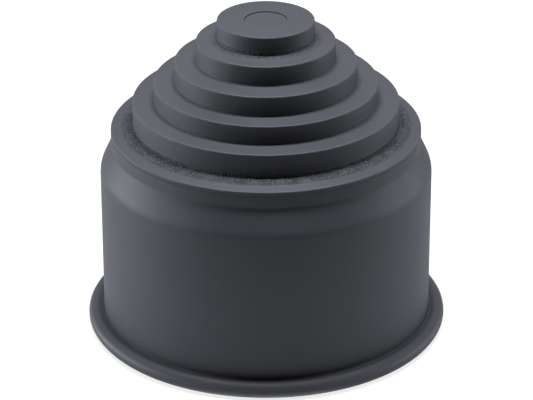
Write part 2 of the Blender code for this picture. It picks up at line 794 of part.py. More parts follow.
def make_motor_housing():
    """The motor's can with its ring magnet, and the end cap with two terminals."""
    floor_top = MOTOR_FOOT_Z + CAN_FLOOR_T
    nose_r = 3.4 * MM
    can = lathe(
        "motor_can",
        [
            (nose_r, MOTOR_FOOT_Z),
            (MOTOR_R, MOTOR_FOOT_Z),
            (MOTOR_R, CAP_Z),
            (MOTOR_R - CAN_T, CAP_Z),
            (MOTOR_R - CAN_T, floor_top),
            (nose_r, floor_top),
        ],
        "steel",
        FINE,
        MOTOR_AT,
    )
    hole = cylinder(1.3 * MM, MOTOR_FOOT_Z - 1.0 * MM, floor_top + 1.0 * MM)
    boolean(can, lathe_helper("can_holes", hole, MOTOR_SCREWS), "DIFFERENCE")
    magnet = tube(9.9 * MM, MOTOR_R - CAN_T - GAP, floor_top + 1.5 * MM, CAP_Z - 2.0 * MM)
    lathe("motor_magnet", magnet, "magnet", FINE, MOTOR_AT)
    brim = CAP_Z + 2.6 * MM
    neck_r = 4.6 * MM
    cap_top = MOTOR_TOP_Z - 1.2 * MM
    bore = MOTOR_SHAFT_R + 0.2 * MM
    cap = lathe(
        "motor_end_cap",
        [
            (bore, CAP_Z + GAP),
            (MOTOR_R, CAP_Z + GAP),
            (MOTOR_R, brim),
            (neck_r, brim),
            (neck_r, cap_top),
            (bore, cap_top),
        ],
        "component",
        FINE,
        MOTOR_AT,
    )
    tabs = bmesh.new()
    for x in (-LEAD_X, LEAD_X):
        extruded(tabs, box_outline(2.0 * MM, 0.8 * MM, x, MOTOR_Y), brim - 1.0 * MM, MOTOR_TOP_Z)
    boolean(cap, place(tabs, "terminals", None), "UNION")


def make_rotor():
    """The three-pole armature with its end windings, the commutator, and the shaft through them."""
    stack_low, stack_high = MOTOR_FOOT_Z + 7.0 * MM, CAP_Z - 7.0 * MM
    coil_t = 2.4 * MM
    armature = prism("armature", pole_outline(), stack_low, stack_high, "copper", MOTOR_AT)
    coils = bmesh.new()
    for i in range(3):
        outline = box_outline(4.4 * MM, 5.6 * MM, x=5.2 * MM)
        extruded(coils, outline, stack_low - coil_t, stack_high + coil_t, MOTOR_AT[:2], 90 + 120 * i)
    boolean(armature, place(coils, "end_windings", None), "UNION")
    bore = cylinder(MOTOR_SHAFT_R + 0.15 * MM, stack_low - 2 * coil_t, stack_high + 2 * coil_t)
    boolean(armature, lathe("armature_bore", bore, None, FINE, MOTOR_AT), "DIFFERENCE")
    segment_foot = stack_high + coil_t + GAP
    shell = tube(MOTOR_SHAFT_R + 0.15 * MM, 3.0 * MM, segment_foot, CAP_Z - 0.6 * MM)
    lathe("commutator", shell, "copper", FINE, MOTOR_AT)
    rod = cylinder(MOTOR_SHAFT_R, GEAR_Z - 1.2 * MM, MOTOR_TOP_Z - 1.0 * MM)
    lathe("motor_shaft", rod, "steel", FINE, MOTOR_AT)


def pole_outline():
    """A three-pole lamination: a round core with three arms that end in curved shoes."""
    core_r, shoe_r, tip_r = 3.6 * MM, 7.8 * MM, 9.3 * MM
    waist, shoe = 16, 44
    points = []
    for i in range(3):
        middle = 90 + 120 * i
        points += [polar(core_r, middle - 40), polar(shoe_r, middle - waist), polar(shoe_r, middle - shoe)]
        points += [polar(tip_r, middle + a) for a in (-shoe, -shoe / 2, 0, shoe / 2, shoe)]
        points += [polar(shoe_r, middle + shoe), polar(shoe_r, middle + waist), polar(core_r, middle + 40)]
    return [(p.x, p.y) for p in points]


# ---------------------------------------------------------------- battery and electronics

BUS_IN_R = 30.0 * MM
BUS_OUT_R = 36.9 * MM
NUB_R = 2.8 * MM
NUB_H = 0.8 * MM


def bus_outline(margin):
    spread = math.degrees(margin / BUS_IN_R)
    return sector(BUS_IN_R - margin, BUS_OUT_R + margin, 20 - spread, 160 + spread, 14)


def make_battery():
    """Three cells side by side in a cradle with cups and two posts, joined by a strip at each end."""
    ring = around(CELL_RING_R, CELL_ANGLES)
    outline = sector(28.4 * MM, 47.8 * MM, 12, 168, 16)
    cradle_foot = PLATE_TOP_Z + GAP
    cradle = prism("battery_cradle", outline, cradle_foot, CRADLE_TOP_Z, "inner_plastic")
    sunk = CRADLE_TOP_Z - 1.0 * MM
    cup = tube(CELL_R + GAP, CELL_R + 1.3 * MM, sunk, CELL_Z + 9.0 * MM)
    boolean(cradle, lathe_helper("cradle_cups", cup, ring, FINE), "UNION")
    post_ring = around(POST_RING_R, CRADLE_POST_ANGLES)
    boolean(cradle, lathe_helper("cradle_posts", cylinder(POST_R, sunk, POST_TOP_Z), post_ring), "UNION")
    boolean(cradle, lathe_helper("cradle_post_holes", post_hole(), post_ring), "DIFFERENCE")
    channel = prism("bus_channel", bus_outline(GAP), CRADLE_TOP_Z, CELL_Z, None)
    boolean(cradle, channel, "DIFFERENCE")

    edge = 0.4 * MM
    lathe_copies(
        "battery_cell",
        [
            (0, 0),
            (CELL_R - edge, 0),
            (CELL_R, edge),
            (CELL_R, CELL_H - edge),
            (CELL_R - edge, CELL_H),
            (NUB_R, CELL_H),
            (NUB_R, CELL_H + NUB_H),
            (0, CELL_H + NUB_H),
        ],
        around(CELL_RING_R, CELL_ANGLES, CELL_Z),
        "cell_wrap",
        FINE,
    )
    lower = CRADLE_TOP_Z + GAP
    prism("lower_bus", bus_outline(0), lower, lower + BUS_T, "bronze")
    prism("upper_bus", bus_outline(0), UPPER_BUS_Z, UPPER_BUS_Z + BUS_T, "bronze")


UPPER_BUS_Z = CELL_Z + CELL_H + NUB_H + GAP
MOTOR_SLOT = (18.0 * MM, 8.0 * MM)
RED_LEAD_AT = polar(33.0 * MM, 76)
BLACK_LEAD_AT = polar(28.0 * MM, 120)
BOARD_TOP_Z = BOARD_Z + BOARD_T
PARTS_Z = BOARD_TOP_Z + GAP
SWITCH_TOP_Z = PARTS_Z + 9.0 * MM
PLUNGER_TOP_Z = SWITCH_TOP_Z + 5.4 * MM
SOCKET_MOUTH_Y = 36.6 * MM


def make_top_plate():
    """The plate over the cells and motor. It rests on the four posts and carries the board."""
    high = TOP_PLATE_Z + TOP_PLATE_T
    plate = lathe("top_plate", cylinder(TOP_PLATE_R, TOP_PLATE_Z, high), "inner_plastic")
    board_ring = around(BOARD_SCREW_RING_R, BOARD_SCREW_ANGLES)
    boss = cylinder(3.0 * MM, high - 1.0 * MM, BOARD_Z - GAP)
    boolean(plate, lathe_helper("board_bosses", boss, board_ring), "UNION")
    post_ring = around(POST_RING_R, CRADLE_POST_ANGLES + PLATE_POST_ANGLES)
    holes = bmesh.new()
    low, over = TOP_PLATE_Z - 1.0 * MM, high + 1.0 * MM
    for point in post_ring:
        spun(holes, cylinder(1.4 * MM, low, over), SMALL, tuple(point))
    for point in board_ring:
        spun(holes, cylinder(1.2 * MM, TOP_PLATE_Z + 1.0 * MM, BOARD_Z + 1.0 * MM), SMALL, tuple(point))
    extruded(holes, box_outline(*MOTOR_SLOT, 0, MOTOR_Y), low, over)
    for point in (RED_LEAD_AT, BLACK_LEAD_AT):
        spun(holes, cylinder(1.6 * MM, low, over), SMALL, tuple(point))
    boolean(plate, place(holes, "top_plate_holes", None), "DIFFERENCE")
    heads = [point + Vector((0, 0, high + GAP)) for point in post_ring]
    lathe_copies("plate_screw", screw(2.4 * MM, 1.4 * MM, 1.0 * MM, 8.5 * MM), heads, "steel")


def make_board():
    """The control board on its bosses, flat at the rear where the charging socket's mouth is."""
    count = 34
    half = math.degrees(math.acos(SOCKET_MOUTH_Y / BOARD_R))
    start, end = 90 + half, 450 - half
    outline = [polar(BOARD_R, start + (end - start) * i / count) for i in range(count + 1)]
    board = prism("main_board", [(p.x, p.y) for p in outline], BOARD_Z, BOARD_TOP_Z, "board")
    hole = cylinder(1.4 * MM, BOARD_Z - 1.0 * MM, BOARD_TOP_Z + 1.0 * MM)
    ring = around(BOARD_SCREW_RING_R, BOARD_SCREW_ANGLES)
    boolean(board, lathe_helper("board_holes", hole, ring), "DIFFERENCE")
    heads = around(BOARD_SCREW_RING_R, BOARD_SCREW_ANGLES, BOARD_TOP_Z + GAP)
    lathe_copies("board_screw", screw(2.2 * MM, 1.2 * MM, 0.9 * MM, 5.0 * MM), heads, "steel")


def make_switch():
    """The latching switch under the button's stem."""
    well_foot = PARTS_Z + 2.0 * MM
    body = prism("switch_body", box_outline(12.0 * MM, 12.0 * MM), PARTS_Z, SWITCH_TOP_Z, "component")
    well = lathe("switch_well", cylinder(2.8 * MM, well_foot, SWITCH_TOP_Z + 1.0 * MM), None, FINE)
    boolean(body, well, "DIFFERENCE")
    plunger_r = 2.4 * MM
    plunger_foot = well_foot + BUTTON_TRAVEL + 0.6 * MM
    edge = 0.4 * MM
    lathe(
        "switch_plunger",
        [
            (0, plunger_foot),
            (plunger_r, plunger_foot),
            (plunger_r, PLUNGER_TOP_Z - edge),
            (plunger_r - edge, PLUNGER_TOP_Z),
            (0, PLUNGER_TOP_Z),
        ],
        "nylon",
        FINE,
    )


def make_board_parts():
    """The capacitor, the driver chip and the charging socket."""
    can_r, can_h, edge = 4.0 * MM, 8.0 * MM, 0.4 * MM
    lathe(
        "capacitor",
        [(0, 0), (can_r - edge, 0), (can_r, edge), (can_r, can_h - edge), (can_r - edge, can_h), (0, can_h)],
        "component",
        FINE,
        (-24.0 * MM, 0, PARTS_Z),
    )
    chip_y = -21.0 * MM
    chip_top = PARTS_Z + 1.6 * MM
    pins = 6
    chip = prism("driver_chip", box_outline(9.0 * MM, 9.0 * MM, 0, chip_y), PARTS_Z, chip_top, "component")
    legs = bmesh.new()
    for i in range(pins):
        leg = box_outline(12.0 * MM, 0.6 * MM, 0, chip_y + (i - (pins - 1) / 2) * 1.4 * MM)
        extruded(legs, leg, PARTS_Z + 0.1 * MM, PARTS_Z + 0.6 * MM)
    boolean(chip, place(legs, "chip_legs", None), "UNION")
    make_charging_socket()


def make_charging_socket():
    """A metal shell that opens to the rear, with the contact tongue on its back wall."""
    width, height, depth, shell_t = 9.4 * MM, 3.8 * MM, 8.0 * MM, 0.5 * MM
    middle_y = SOCKET_MOUTH_Y - depth / 2
    top = PARTS_Z + height
    shell = prism("charging_socket", box_outline(width, depth, 0, middle_y), PARTS_Z, top, "steel")
    inner = box_outline(width - 2 * shell_t, depth, 0, middle_y + 1.0 * MM)
    mouth = prism("socket_mouth", inner, PARTS_Z + shell_t, top - shell_t, None)
    boolean(shell, mouth, "DIFFERENCE")
    tongue_half_t = 0.4 * MM
    centre = PARTS_Z + height / 2
    outline = box_outline(6.0 * MM, depth - 2.4 * MM, 0, middle_y - 0.7 * MM)
    tongue = prism("socket_tongue", outline, centre - tongue_half_t, centre + tongue_half_t, None)
    boolean(shell, tongue, "UNION")


def lead(name, guide, colour):
    """A held wire along the Bezier curve of four guide points."""
    a, b, c, d = (Vector(p) for p in guide)
    count = 10
    path = []
    for i in range(count + 1):
        t = i / count
        u = 1 - t
        path.append(a * u**3 + b * (3 * t * u**2) + c * (3 * t**2 * u) + d * t**3)
    wire_along(name, path, 0.8 * MM, colour)


def make_leads():
    board = BOARD_Z - GAP
    for name, side, colour in (("red", 1, "red_wire"), ("black", -1, "black_wire")):
        start = Vector((side * LEAD_X, MOTOR_Y, MOTOR_TOP_Z + GAP))
        end = Vector((side * 7.0 * MM, MOTOR_Y + 3.0 * MM, board))
        rise = Vector((0, 0, 4.0 * MM))
        lead(f"motor_lead_{name}", [start, start + rise, end - rise, end], colour)
    foot = UPPER_BUS_Z + BUS_T + GAP
    low_foot = CRADLE_TOP_Z + BUS_T + 2 * GAP
    for name, at, start_z, colour in (
        ("red", RED_LEAD_AT, foot, "red_wire"),
        ("black", BLACK_LEAD_AT, low_foot, "black_wire"),
    ):
        start = Vector((at.x, at.y, start_z))
        end = Vector((at.x, at.y, board))
        lead(f"battery_lead_{name}", [start, start.lerp(end, 0.3), start.lerp(end, 0.7), end], colour)


def main():
    clear_scene()
    make_hood()
    make_button()
    make_body_shell()
    make_rim()
    make_guard()
    make_impeller()
    make_base_plate()
    make_base_screws()
    make_shaft_line()
    make_gears()
    make_motor_plate()
    make_motor_housing()
    make_rotor()
    make_battery()
    make_top_plate()
    make_board()
    make_switch()
    make_board_parts()
    make_leads()


main()
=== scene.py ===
"""Portable mini washer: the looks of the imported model, with a pale floor, studio light and the camera.

Metres, +Z up, the washer standing on the origin with its front at -Y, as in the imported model.
"""

import json
import math

import bmesh
import bpy
from mathutils import Euler, Matrix, Vector, noise


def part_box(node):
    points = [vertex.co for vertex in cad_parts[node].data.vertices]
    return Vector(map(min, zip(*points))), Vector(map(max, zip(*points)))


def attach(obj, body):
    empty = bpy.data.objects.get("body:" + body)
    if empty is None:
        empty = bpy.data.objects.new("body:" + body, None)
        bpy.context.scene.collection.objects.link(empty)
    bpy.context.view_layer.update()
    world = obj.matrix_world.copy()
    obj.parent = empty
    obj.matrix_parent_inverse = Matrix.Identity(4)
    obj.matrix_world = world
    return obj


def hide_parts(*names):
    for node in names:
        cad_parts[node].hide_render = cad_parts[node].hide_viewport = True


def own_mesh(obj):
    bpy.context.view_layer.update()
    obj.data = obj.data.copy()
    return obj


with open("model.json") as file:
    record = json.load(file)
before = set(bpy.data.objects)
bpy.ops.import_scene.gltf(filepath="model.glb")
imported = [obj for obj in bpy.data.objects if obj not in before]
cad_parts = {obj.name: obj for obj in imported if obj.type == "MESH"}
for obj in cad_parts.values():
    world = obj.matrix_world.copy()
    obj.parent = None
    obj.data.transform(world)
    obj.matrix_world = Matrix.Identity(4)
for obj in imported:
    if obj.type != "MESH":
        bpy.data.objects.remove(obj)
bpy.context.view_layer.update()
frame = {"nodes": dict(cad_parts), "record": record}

MM = 0.001
GAP = 0.3 * MM  # room kept between separate pieces that touch on the real washer

# Casing sizes. A tier is its radius, the height of its top edge and the height of its wall's foot
TIERS = (
    (17.4 * MM, 117.8 * MM, 111.0 * MM),
    (24.9 * MM, 110.0 * MM, 102.8 * MM),
    (32.7 * MM, 102.0 * MM, 94.6 * MM),
    (40.3 * MM, 94.3 * MM, 87.3 * MM),
    (47.9 * MM, 87.0 * MM, 78.2 * MM),
    (55.9 * MM, 76.6 * MM, 70.3 * MM),
)
WALL = 2.5 * MM
COLLAR_R, COLLAR_TOP_Z, COLLAR_FOOT_Z = TIERS[-1]
SEAM_Z = COLLAR_TOP_Z - 1.5 * MM
SEAM_GAP = 0.04 * MM
BODY_R = 60.0 * MM
SHOULDER_Z = 61.6 * MM
DRUM_FOOT_Z = 1.5 * MM
SKIRT_R = COLLAR_R - WALL - GAP
SKIRT_FOOT_Z = 64.0 * MM
HOOD_TOP_Z = TIERS[0][1]
EDGE = 0.45 * MM  # rounding of the moulded outer edges
SMALL_EDGE = 0.25 * MM

# Seal ring, in a groove round the hood's skirt
SEAL_Z = 72.4 * MM
SEAL_WIRE_R = 0.6 * MM
SEAL_SUNK = 0.45 * MM
GROOVE_DEPTH = 1.3 * MM
GROOVE_HALF = 0.9 * MM

# Button in the top tier, with its boss, clip and spring
BUTTON_R = 7.42 * MM
BUTTON_HOLE_R = 7.5 * MM
BUTTON_RECESS = 0.35 * MM
FLANGE_T = 1.6 * MM
STEM_R = 2.2 * MM
BOSS_IN = 9.4 * MM
BOSS_OUT = 11.2 * MM
BOSS_FOOT_Z = 106.9 * MM
SPRING_R = 5.2 * MM
SPRING_WIRE_R = 0.4 * MM
SPRING_TURNS = 3.5

# A dark nub beside the top tier's foot: painted shade that stands for the pit of the mould's gate
GATE_R = 0.35 * MM
GATE_OUT = 1.2 * MM
GATE_ANGLE = 263

# Rim under the drum: a bead with a small hollow fillet, and a leg inside the wall
RIM_R = 3.0 * MM
RIM_CENTRE_R = 62.7 * MM
RIM_FILLET = 0.6 * MM
RIM_PLAY = 0.03 * MM
RIM_SLOT_Z = DRUM_FOOT_Z - GAP
RIM_LEG_IN = 56.4 * MM
RIM_LEG_TOP_Z = 4.6 * MM

# Guard: a grille in a ring, whose lugs turn over the drum's tabs
TAB_ANGLES = (30, 150, 270)
TAB_HALF = 15
TAB_IN_R = 54.3 * MM
TAB_OUT_R = 58.5 * MM
TAB_Z = 6.2 * MM
TAB_TOP_Z = 8.4 * MM
LUG_HALF = 10
LUG_R = 56.2 * MM
LUG_Z = 8.8 * MM
LUG_T = 1.8 * MM
GUARD_RING_T = 2.4 * MM
GUARD_FLANGE_R = 55.6 * MM
GRILLE_Z = 3.0 * MM
GRILLE_T = 2.2 * MM
GRILLE_BARS = ((8.6 * MM, 11.6 * MM), (20.4 * MM, 22.4 * MM), (33.6 * MM, 35.6 * MM), (47.2 * MM, 50.6 * MM))
SPOKES = 12
SPOKE_WIDTH = 1.7 * MM
SPOKE_LENGTH = 38.0 * MM
SPOKE_MIDDLE_R = 29.0 * MM
SPOKE_SUNK = 0.3 * MM

# Impeller, with its nut on the drive shaft
IMPELLER_R = 42.0 * MM
DISC_Z = 13.2 * MM
DISC_TOP_Z = 15.0 * MM
HUB_R = 7.4 * MM
HUB_FOOT_Z = 7.4 * MM
HUB_TOP_Z = 16.2 * MM
BLADES = 6
BLADE_T = 2.0 * MM
BLADE_SWEEP = 32
SHAFT_R = 3.0 * MM
SHAFT_PLAY = 0.1 * MM
NUT_R = 4.6 * MM
NUT_Z = 5.6 * MM
NUT_TOP_Z = 7.1 * MM

# Base plate, and the drum's bosses that its screws go up into
PLATE_Z = 16.8 * MM
PLATE_T = 2.8 * MM
SHELL_BOSS_IN = 1.6 * MM
SHELL_BOSS_OUT = 4.4 * MM
SHELL_BOSS_TOP_Z = 31.0 * MM

# Motor and leads
MOTOR_Y = -24.1 * MM
MOTOR_TOP_Z = 72.0 * MM
LEAD_R = 0.8 * MM
LEAD_MOTOR_X = 6.0 * MM
LEAD_BOARD_X = 7.0 * MM
LEAD_BOARD_Y = -21.1 * MM

# Deck and board
DECK_Z = 76.0 * MM
DECK_T = 2.2 * MM
DECK_TOP_Z = DECK_Z + DECK_T
DECK_R = 44.6 * MM
LEAD_SLOT = (18.0 * MM, 8.0 * MM)
LEAD_HOLE_R = 1.6 * MM
LEAD_HOLES = ((33.0 * MM, 76), (28.0 * MM, 120))
BOARD_Z = 82.0 * MM
BOARD_T = 1.6 * MM
BOARD_TOP_Z = BOARD_Z + BOARD_T
BOARD_R = 42.0 * MM
PARTS_Z = BOARD_TOP_Z + GAP

# Parts on the board
SWITCH_SIZE = 12.0 * MM
SWITCH_TOP_Z = PARTS_Z + 9.0 * MM
SWITCH_PAD_X = 7.6 * MM
SWITCH_PAD_PITCH = 3.0 * MM
PLUNGER_R = 2.4 * MM
PLUNGER_FOOT_Z = PARTS_Z + 4.1 * MM
PLUNGER_TOP_Z = SWITCH_TOP_Z + 5.4 * MM
CAPACITOR_X = -24.0 * MM
CAPACITOR_R = 4.0 * MM
CAPACITOR_H = 8.0 * MM
DRIVER_Y = -21.0 * MM
DRIVER_SIZE = 9.0 * MM
DRIVER_H = 1.6 * MM
DRIVER_LEGS = 6
DRIVER_LEG_X = 5.1 * MM
DRIVER_LEG_PITCH = 1.4 * MM
SOCKET_WIDTH, SOCKET_DEPTH, SOCKET_HEIGHT = 9.4 * MM, 8.0 * MM, 3.8 * MM
SOCKET_MOUTH_Y = 36.6 * MM
SOLDER_BLOBS = (
    (8.75 * MM, -21.1 * MM),
    (-8.75 * MM, -21.1 * MM),
    (10.0 * MM, 32.0 * MM),
    (-17.5 * MM, 24.2 * MM),
)
CHIPS = 14
CHIP_ROWS = (27.0 * MM, 32.0 * MM)
CHIP_START, CHIP_PITCH = 150, 17
DRIVER_ROOM = 12.0 * MM

# A ring of screws is its radius and angles. A screw is its head's radius and height, and its shank's
# radius and length
BASE_SCREW_RING = (53.4 * MM, (90, 210, 330))
BASE_SCREW = (2.8 * MM, 1.6 * MM, 1.35 * MM, 11 * MM)
DECK_SCREW_RING = (41.0 * MM, (60, 120, 215, 325))
DECK_SCREW = (2.4 * MM, 1.4 * MM, 1.0 * MM, 8.5 * MM)
BOARD_SCREW_RING = (34.5 * MM, (45, 135, 270))
BOARD_SCREW = (2.2 * MM, 1.2 * MM, 0.9 * MM, 5.0 * MM)

# Sides of round shapes, and the angle in degrees from which an edge stays sharp
CASING_ROUND = 288
ROUND = 240
BUTTON_ROUND = 128
SMALL_ROUND = 64
SCREW_ROUND = 40
BOSS_ROUND = 32
TINY_ROUND = 24
PAD_ROUND = 20
CREASE = 32
SCREW_CREASE = 40

# The casing's plastic. The mould left a coarse ring on each ledge, by width and strength, coloured with
# painted shade in its pits and painted glints on its grains, and on two ledges a crust of grains, by the
# index of the tier above, width and height
CASING_COLOUR = (0.053, 0.0536, 0.0592)
LEDGE_STIPPLE = ((3.4 * MM, 0.6), (2.2 * MM, 0.22), (2.2 * MM, 0.22), (2.2 * MM, 0.25), (4.9 * MM, 1.0))
GRIT_RINGS = ((4, 4.6 * MM, 0.45 * MM), (0, 3.2 * MM, 0.22 * MM))
GRIT_SIZE = 0.85 * MM
GRIT_STEP = 0.27 * MM
GRIT_PATCH = 7 * MM
GRIT_SUNK = 0.06 * MM
GRIT_DEPTH = 0.3 * MM
SEED = Vector((3.1, 7.7, 1.3))

# Camera, fitted to the ellipses of the tiers
CAMERA_ELEVATION = 26.37
CAMERA_DISTANCE = 1.045
CAMERA_AIM = Vector((0, 0, 0.0388))
CAMERA_LENS = 192.8
CAMERA_SHIFT = (0.0006, 0.0359)
CAMERA_ROLL = -0.14

# Floor and light. A lamp is its name, place, aim, size and power. The lamps under the floor reach only
# the pieces named with them
COOL = (0.94, 0.98, 1.07)
WORLD_DIM = 0.015
FLOOR_HALF = 6.0
FLOOR_Z = -0.05 * MM
FLOOR_GLOW = {"Emission_Color": (1, 1, 1, 1), "Emission_Strength": 0.8}
FLOOR_BOUNCE = (0.58, 0.06)  # near the washer, and far off
LAMPS = (
    ("overhead", (0, 0.07, 1.30), (0, 0, 0.06), (0.7, 0.17), 24.0),
    ("behind", (0, 1.30, 0.90), (0, 0, 0.08), (1.8, 0.6), 4.0),
    ("left_side", (-1.08, 0.14, 0.05), (0, 0, 0.05), (1.0, 0.2), 13.0),
    ("right_side", (1.08, 0.22, 0.05), (0, 0, 0.05), (0.8, 0.2), 5.8),
)
WASH_SIDE = (
    "grille_moulding",
    "guard_ring_moulding",
    "impeller_moulding",
    "shaft_nut",
    "base_plate",
    "base_screw_head_1",
    "base_screw_head_2",
    "base_screw_head_3",
)
WASH_EDGE = ("rim_moulding", "drum_moulding")
LAMPS_BELOW = (
    (("below", (0, 0, -0.9), (0, 0, 0), (1.2, 1.2), 9.0), WASH_SIDE),
    (("below_rim", (0, 0, -0.9), (0, 0, 0), (0.6, 0.6), 4.0), WASH_EDGE),
)


# ---------------------------------------------------------------- materials


class Nodes:
    """Builds one material's nodes: each call adds a node and returns its output."""

    def __init__(self, name):
        self.material = bpy.data.materials.new(name)
        self.material.use_nodes = True
        self.tree = self.material.node_tree
        self.shader = self.tree.nodes["Principled BSDF"]
        self.place = self.tree.nodes.new("ShaderNodeTexCoord").outputs["Object"]

    def link(self, source, target):
        if isinstance(source, (int, float, tuple)):
            target.default_value = source
        else:
            self.tree.links.new(source, target)

    def noise(self, size, detail=2.0, roughness=0.5, stretch=None):
        """Noise with features about size metres across, from 0 to 1."""
        node = self.tree.nodes.new("ShaderNodeTexNoise")
        node.inputs["Scale"].default_value = 1 / size
        node.inputs["Detail"].default_value = detail
        node.inputs["Roughness"].default_value = roughness
        place = self.place
        if stretch:
            mapping = self.tree.nodes.new("ShaderNodeMapping")
            mapping.inputs["Scale"].default_value = stretch
            self.link(place, mapping.inputs["Vector"])
            place = mapping.outputs["Vector"]
        self.link(place, node.inputs["Vector"])
        return node.outputs["Fac"]

    def cells(self, size):
        """Distance from the middle of the nearest cell, of cells about size metres across."""
        node = self.tree.nodes.new("ShaderNodeTexVoronoi")
        node.inputs["Scale"].default_value = 1 / size
        self.link(self.place, node.inputs["Vector"])
        return node.outputs["Distance"]

    def math(self, operation, a, b=0.0):
        node = self.tree.nodes.new("ShaderNodeMath")
        node.operation = operation
        self.link(a, node.inputs[0])
        self.link(b, node.inputs[1])
        return node.outputs[0]

    def times(self, product, *factors):
        for factor in factors:
            product = self.math("MULTIPLY", product, factor)
        return product

    def hypotenuse(self, a, b):
        return self.math("SQRT", self.math("ADD", self.times(a, a), self.times(b, b)))

    def ramp(self, value, low, high, out_low=0.0, out_high=1.0):
        """Maps low..high to out_low..out_high, smoothly and clamped."""
        node = self.tree.nodes.new("ShaderNodeMapRange")
        node.interpolation_type = "SMOOTHSTEP"
        self.link(value, node.inputs["Value"])
        self.link(low, node.inputs["From Min"])
        self.link(high, node.inputs["From Max"])
        self.link(out_low, node.inputs["To Min"])
        self.link(out_high, node.inputs["To Max"])
        return node.outputs["Result"]

    def mix(self, factor, a, b):
        node = self.tree.nodes.new("ShaderNodeMix")
        node.data_type = "RGBA"
        self.link(factor, node.inputs["Factor"])
        colours = [socket for socket in node.inputs if socket.type == "RGBA"]
        for value, socket in zip((a, b), colours):
            self.link((*value, 1.0) if isinstance(value, tuple) else value, socket)
        return next(socket for socket in node.outputs if socket.type == "RGBA")

    def radius_and_height(self):
        """Distance from the washer's axis, and height."""
        split = self.tree.nodes.new("ShaderNodeSeparateXYZ")
        self.link(self.place, split.inputs[0])
        x, y, z = split.outputs
        return self.hypotenuse(x, y), z

    def distance_to_ring(self, ring_r, ring_z):
        """Distance to the circle of radius ring_r about the washer's axis at height ring_z."""
        radius, height = self.radius_and_height()
        return self.hypotenuse(self.math("SUBTRACT", radius, ring_r), self.math("SUBTRACT", height, ring_z))

    def bump(self, height, distance, strength=1.0, under=None):
        node = self.tree.nodes.new("ShaderNodeBump")
        node.inputs["Distance"].default_value = distance
        node.inputs["Strength"].default_value = strength
        self.link(height, node.inputs["Height"])
        if under:
            self.link(under, node.inputs["Normal"])
        return node.outputs["Normal"]

    def finish(self, colour, roughness, normal, **uniform):
        self.link(colour, self.shader.inputs["Base Color"])
        self.link(roughness, self.shader.inputs["Roughness"])
        self.link(normal, self.shader.inputs["Normal"])
        for name, value in uniform.items():
            self.shader.inputs[name.replace("_", " ")].default_value = value
        return self.material


def shade(colour, factor):
    return tuple(min(1.0, c * factor) for c in colour)


def casing_plastic(name, colour, highlit_edges=(), stipple=()):
    """Matt moulded plastic: a fine grain and a cloudy tone.

    The round edges listed by (radius, height) get a paler band, a painted highlight. stipple lists the
    (inner radius, outer radius, foot height, strength) of rings that the mould left coarse.
    """
    n = Nodes(name)
    cloud = n.noise(22 * MM, 3.0)
    fine = n.noise(0.32 * MM, 3.0, 0.6)
    coarse = n.noise(0.9 * MM, 2.0)
    tone = n.mix(n.ramp(cloud, 0.3, 0.7), shade(colour, 0.93), shade(colour, 1.07))
    tone = n.mix(n.times(n.ramp(fine, 0.35, 0.75), 0.35), tone, shade(colour, 1.22))
    # A paler band along each listed round edge: a painted highlight
    for edge_r, edge_z in highlit_edges:
        near = n.ramp(n.distance_to_ring(edge_r, edge_z), 0.75 * MM, 0.3 * MM)
        tone = n.mix(n.times(near, n.ramp(coarse, 0.3, 0.7, 0.3, 0.7)), tone, shade(colour, 1.6))
    roughness = n.ramp(cloud, 0.2, 0.8, 0.52, 0.62)
    normal = n.bump(coarse, 0.03 * MM, 0.5)
    normal = n.bump(fine, 0.035 * MM, 0.8, normal)
    if stipple:
        share = stipple_share(n, stipple)
        grit_and_painted_glints = n.cells(0.75 * MM)
        # Painted shade in the pits between the grains, and painted glints on the grains
        tone = n.mix(n.times(share, n.ramp(grit_and_painted_glints, 0.25, 0.6), 0.8), tone, shade(colour, 0.3))
        tone = n.mix(n.times(share, n.ramp(grit_and_painted_glints, 0.34, 0.12), 0.9), tone, shade(colour, 2.2))
        normal = n.bump(n.times(grit_and_painted_glints, share), 0.35 * MM, 1.0, normal)
        roughness = n.math("ADD", roughness, n.times(share, 0.15))
    return n.finish(tone, roughness, normal, Specular_IOR_Level=0.42)


def stipple_share(n, rings):
    """How coarse the surface is, and how strong its painted shade and glints are, from 0 to 1: patchy, and
    fading out at the edges of each ring.
    """
    radius, height = n.radius_and_height()
    patchy = n.ramp(n.noise(5 * MM, 3.0), 0.25, 0.6, 0.5, 1.0)
    total = 0.0
    for inner, outer, foot, strength in rings:
        within = n.ramp(radius, outer, outer - 1.4 * MM)
        beyond = n.ramp(radius, inner - 0.6 * MM, inner)
        under = n.ramp(height, foot + 2.0 * MM, foot + 1.0 * MM)
        above = n.ramp(height, foot - 3.0 * MM, foot - 2.0 * MM)
        total = n.math("MAXIMUM", total, n.times(within, beyond, under, above, strength))
    return n.times(total, patchy)


def plain_plastic(name, colour, roughness=0.45, grain=0.5 * MM, depth=0.015 * MM):
    """Moulded plastic or rubber of one colour: slight clouding, a fine grain, uneven gloss."""
    n = Nodes(name)
    cloud = n.noise(9 * MM, 3.0)
    fine = n.noise(grain, 2.0)
    tone = n.mix(n.ramp(cloud, 0.3, 0.7), shade(colour, 0.92), shade(colour, 1.08))
    tone = n.mix(n.times(n.ramp(fine, 0.4, 0.8), 0.2), tone, shade(colour, 1.3))
    gloss = n.ramp(cloud, 0.25, 0.75, roughness - 0.08, roughness + 0.08)
    return n.finish(tone, gloss, n.bump(fine, depth, 0.7))


def machined_metal(name, colour, roughness=0.3, stretch=(1, 1, 14)):
    """Turned or plated metal: fine tool marks round its axis, a little tarnish."""
    n = Nodes(name)
    marks = n.noise(0.9 * MM, 3.0, 0.6, stretch)
    tarnish = n.noise(4 * MM, 4.0)
    tone = n.mix(n.ramp(tarnish, 0.45, 0.75), colour, shade(colour, 0.78))
    tone = n.mix(n.times(n.ramp(marks, 0.4, 0.7), 0.25), tone, shade(colour, 1.15))
    gloss = n.ramp(marks, 0.3, 0.7, roughness - 0.07, roughness + 0.1)
    return n.finish(tone, gloss, n.bump(marks, 0.01 * MM, 0.5), Metallic=1.0)


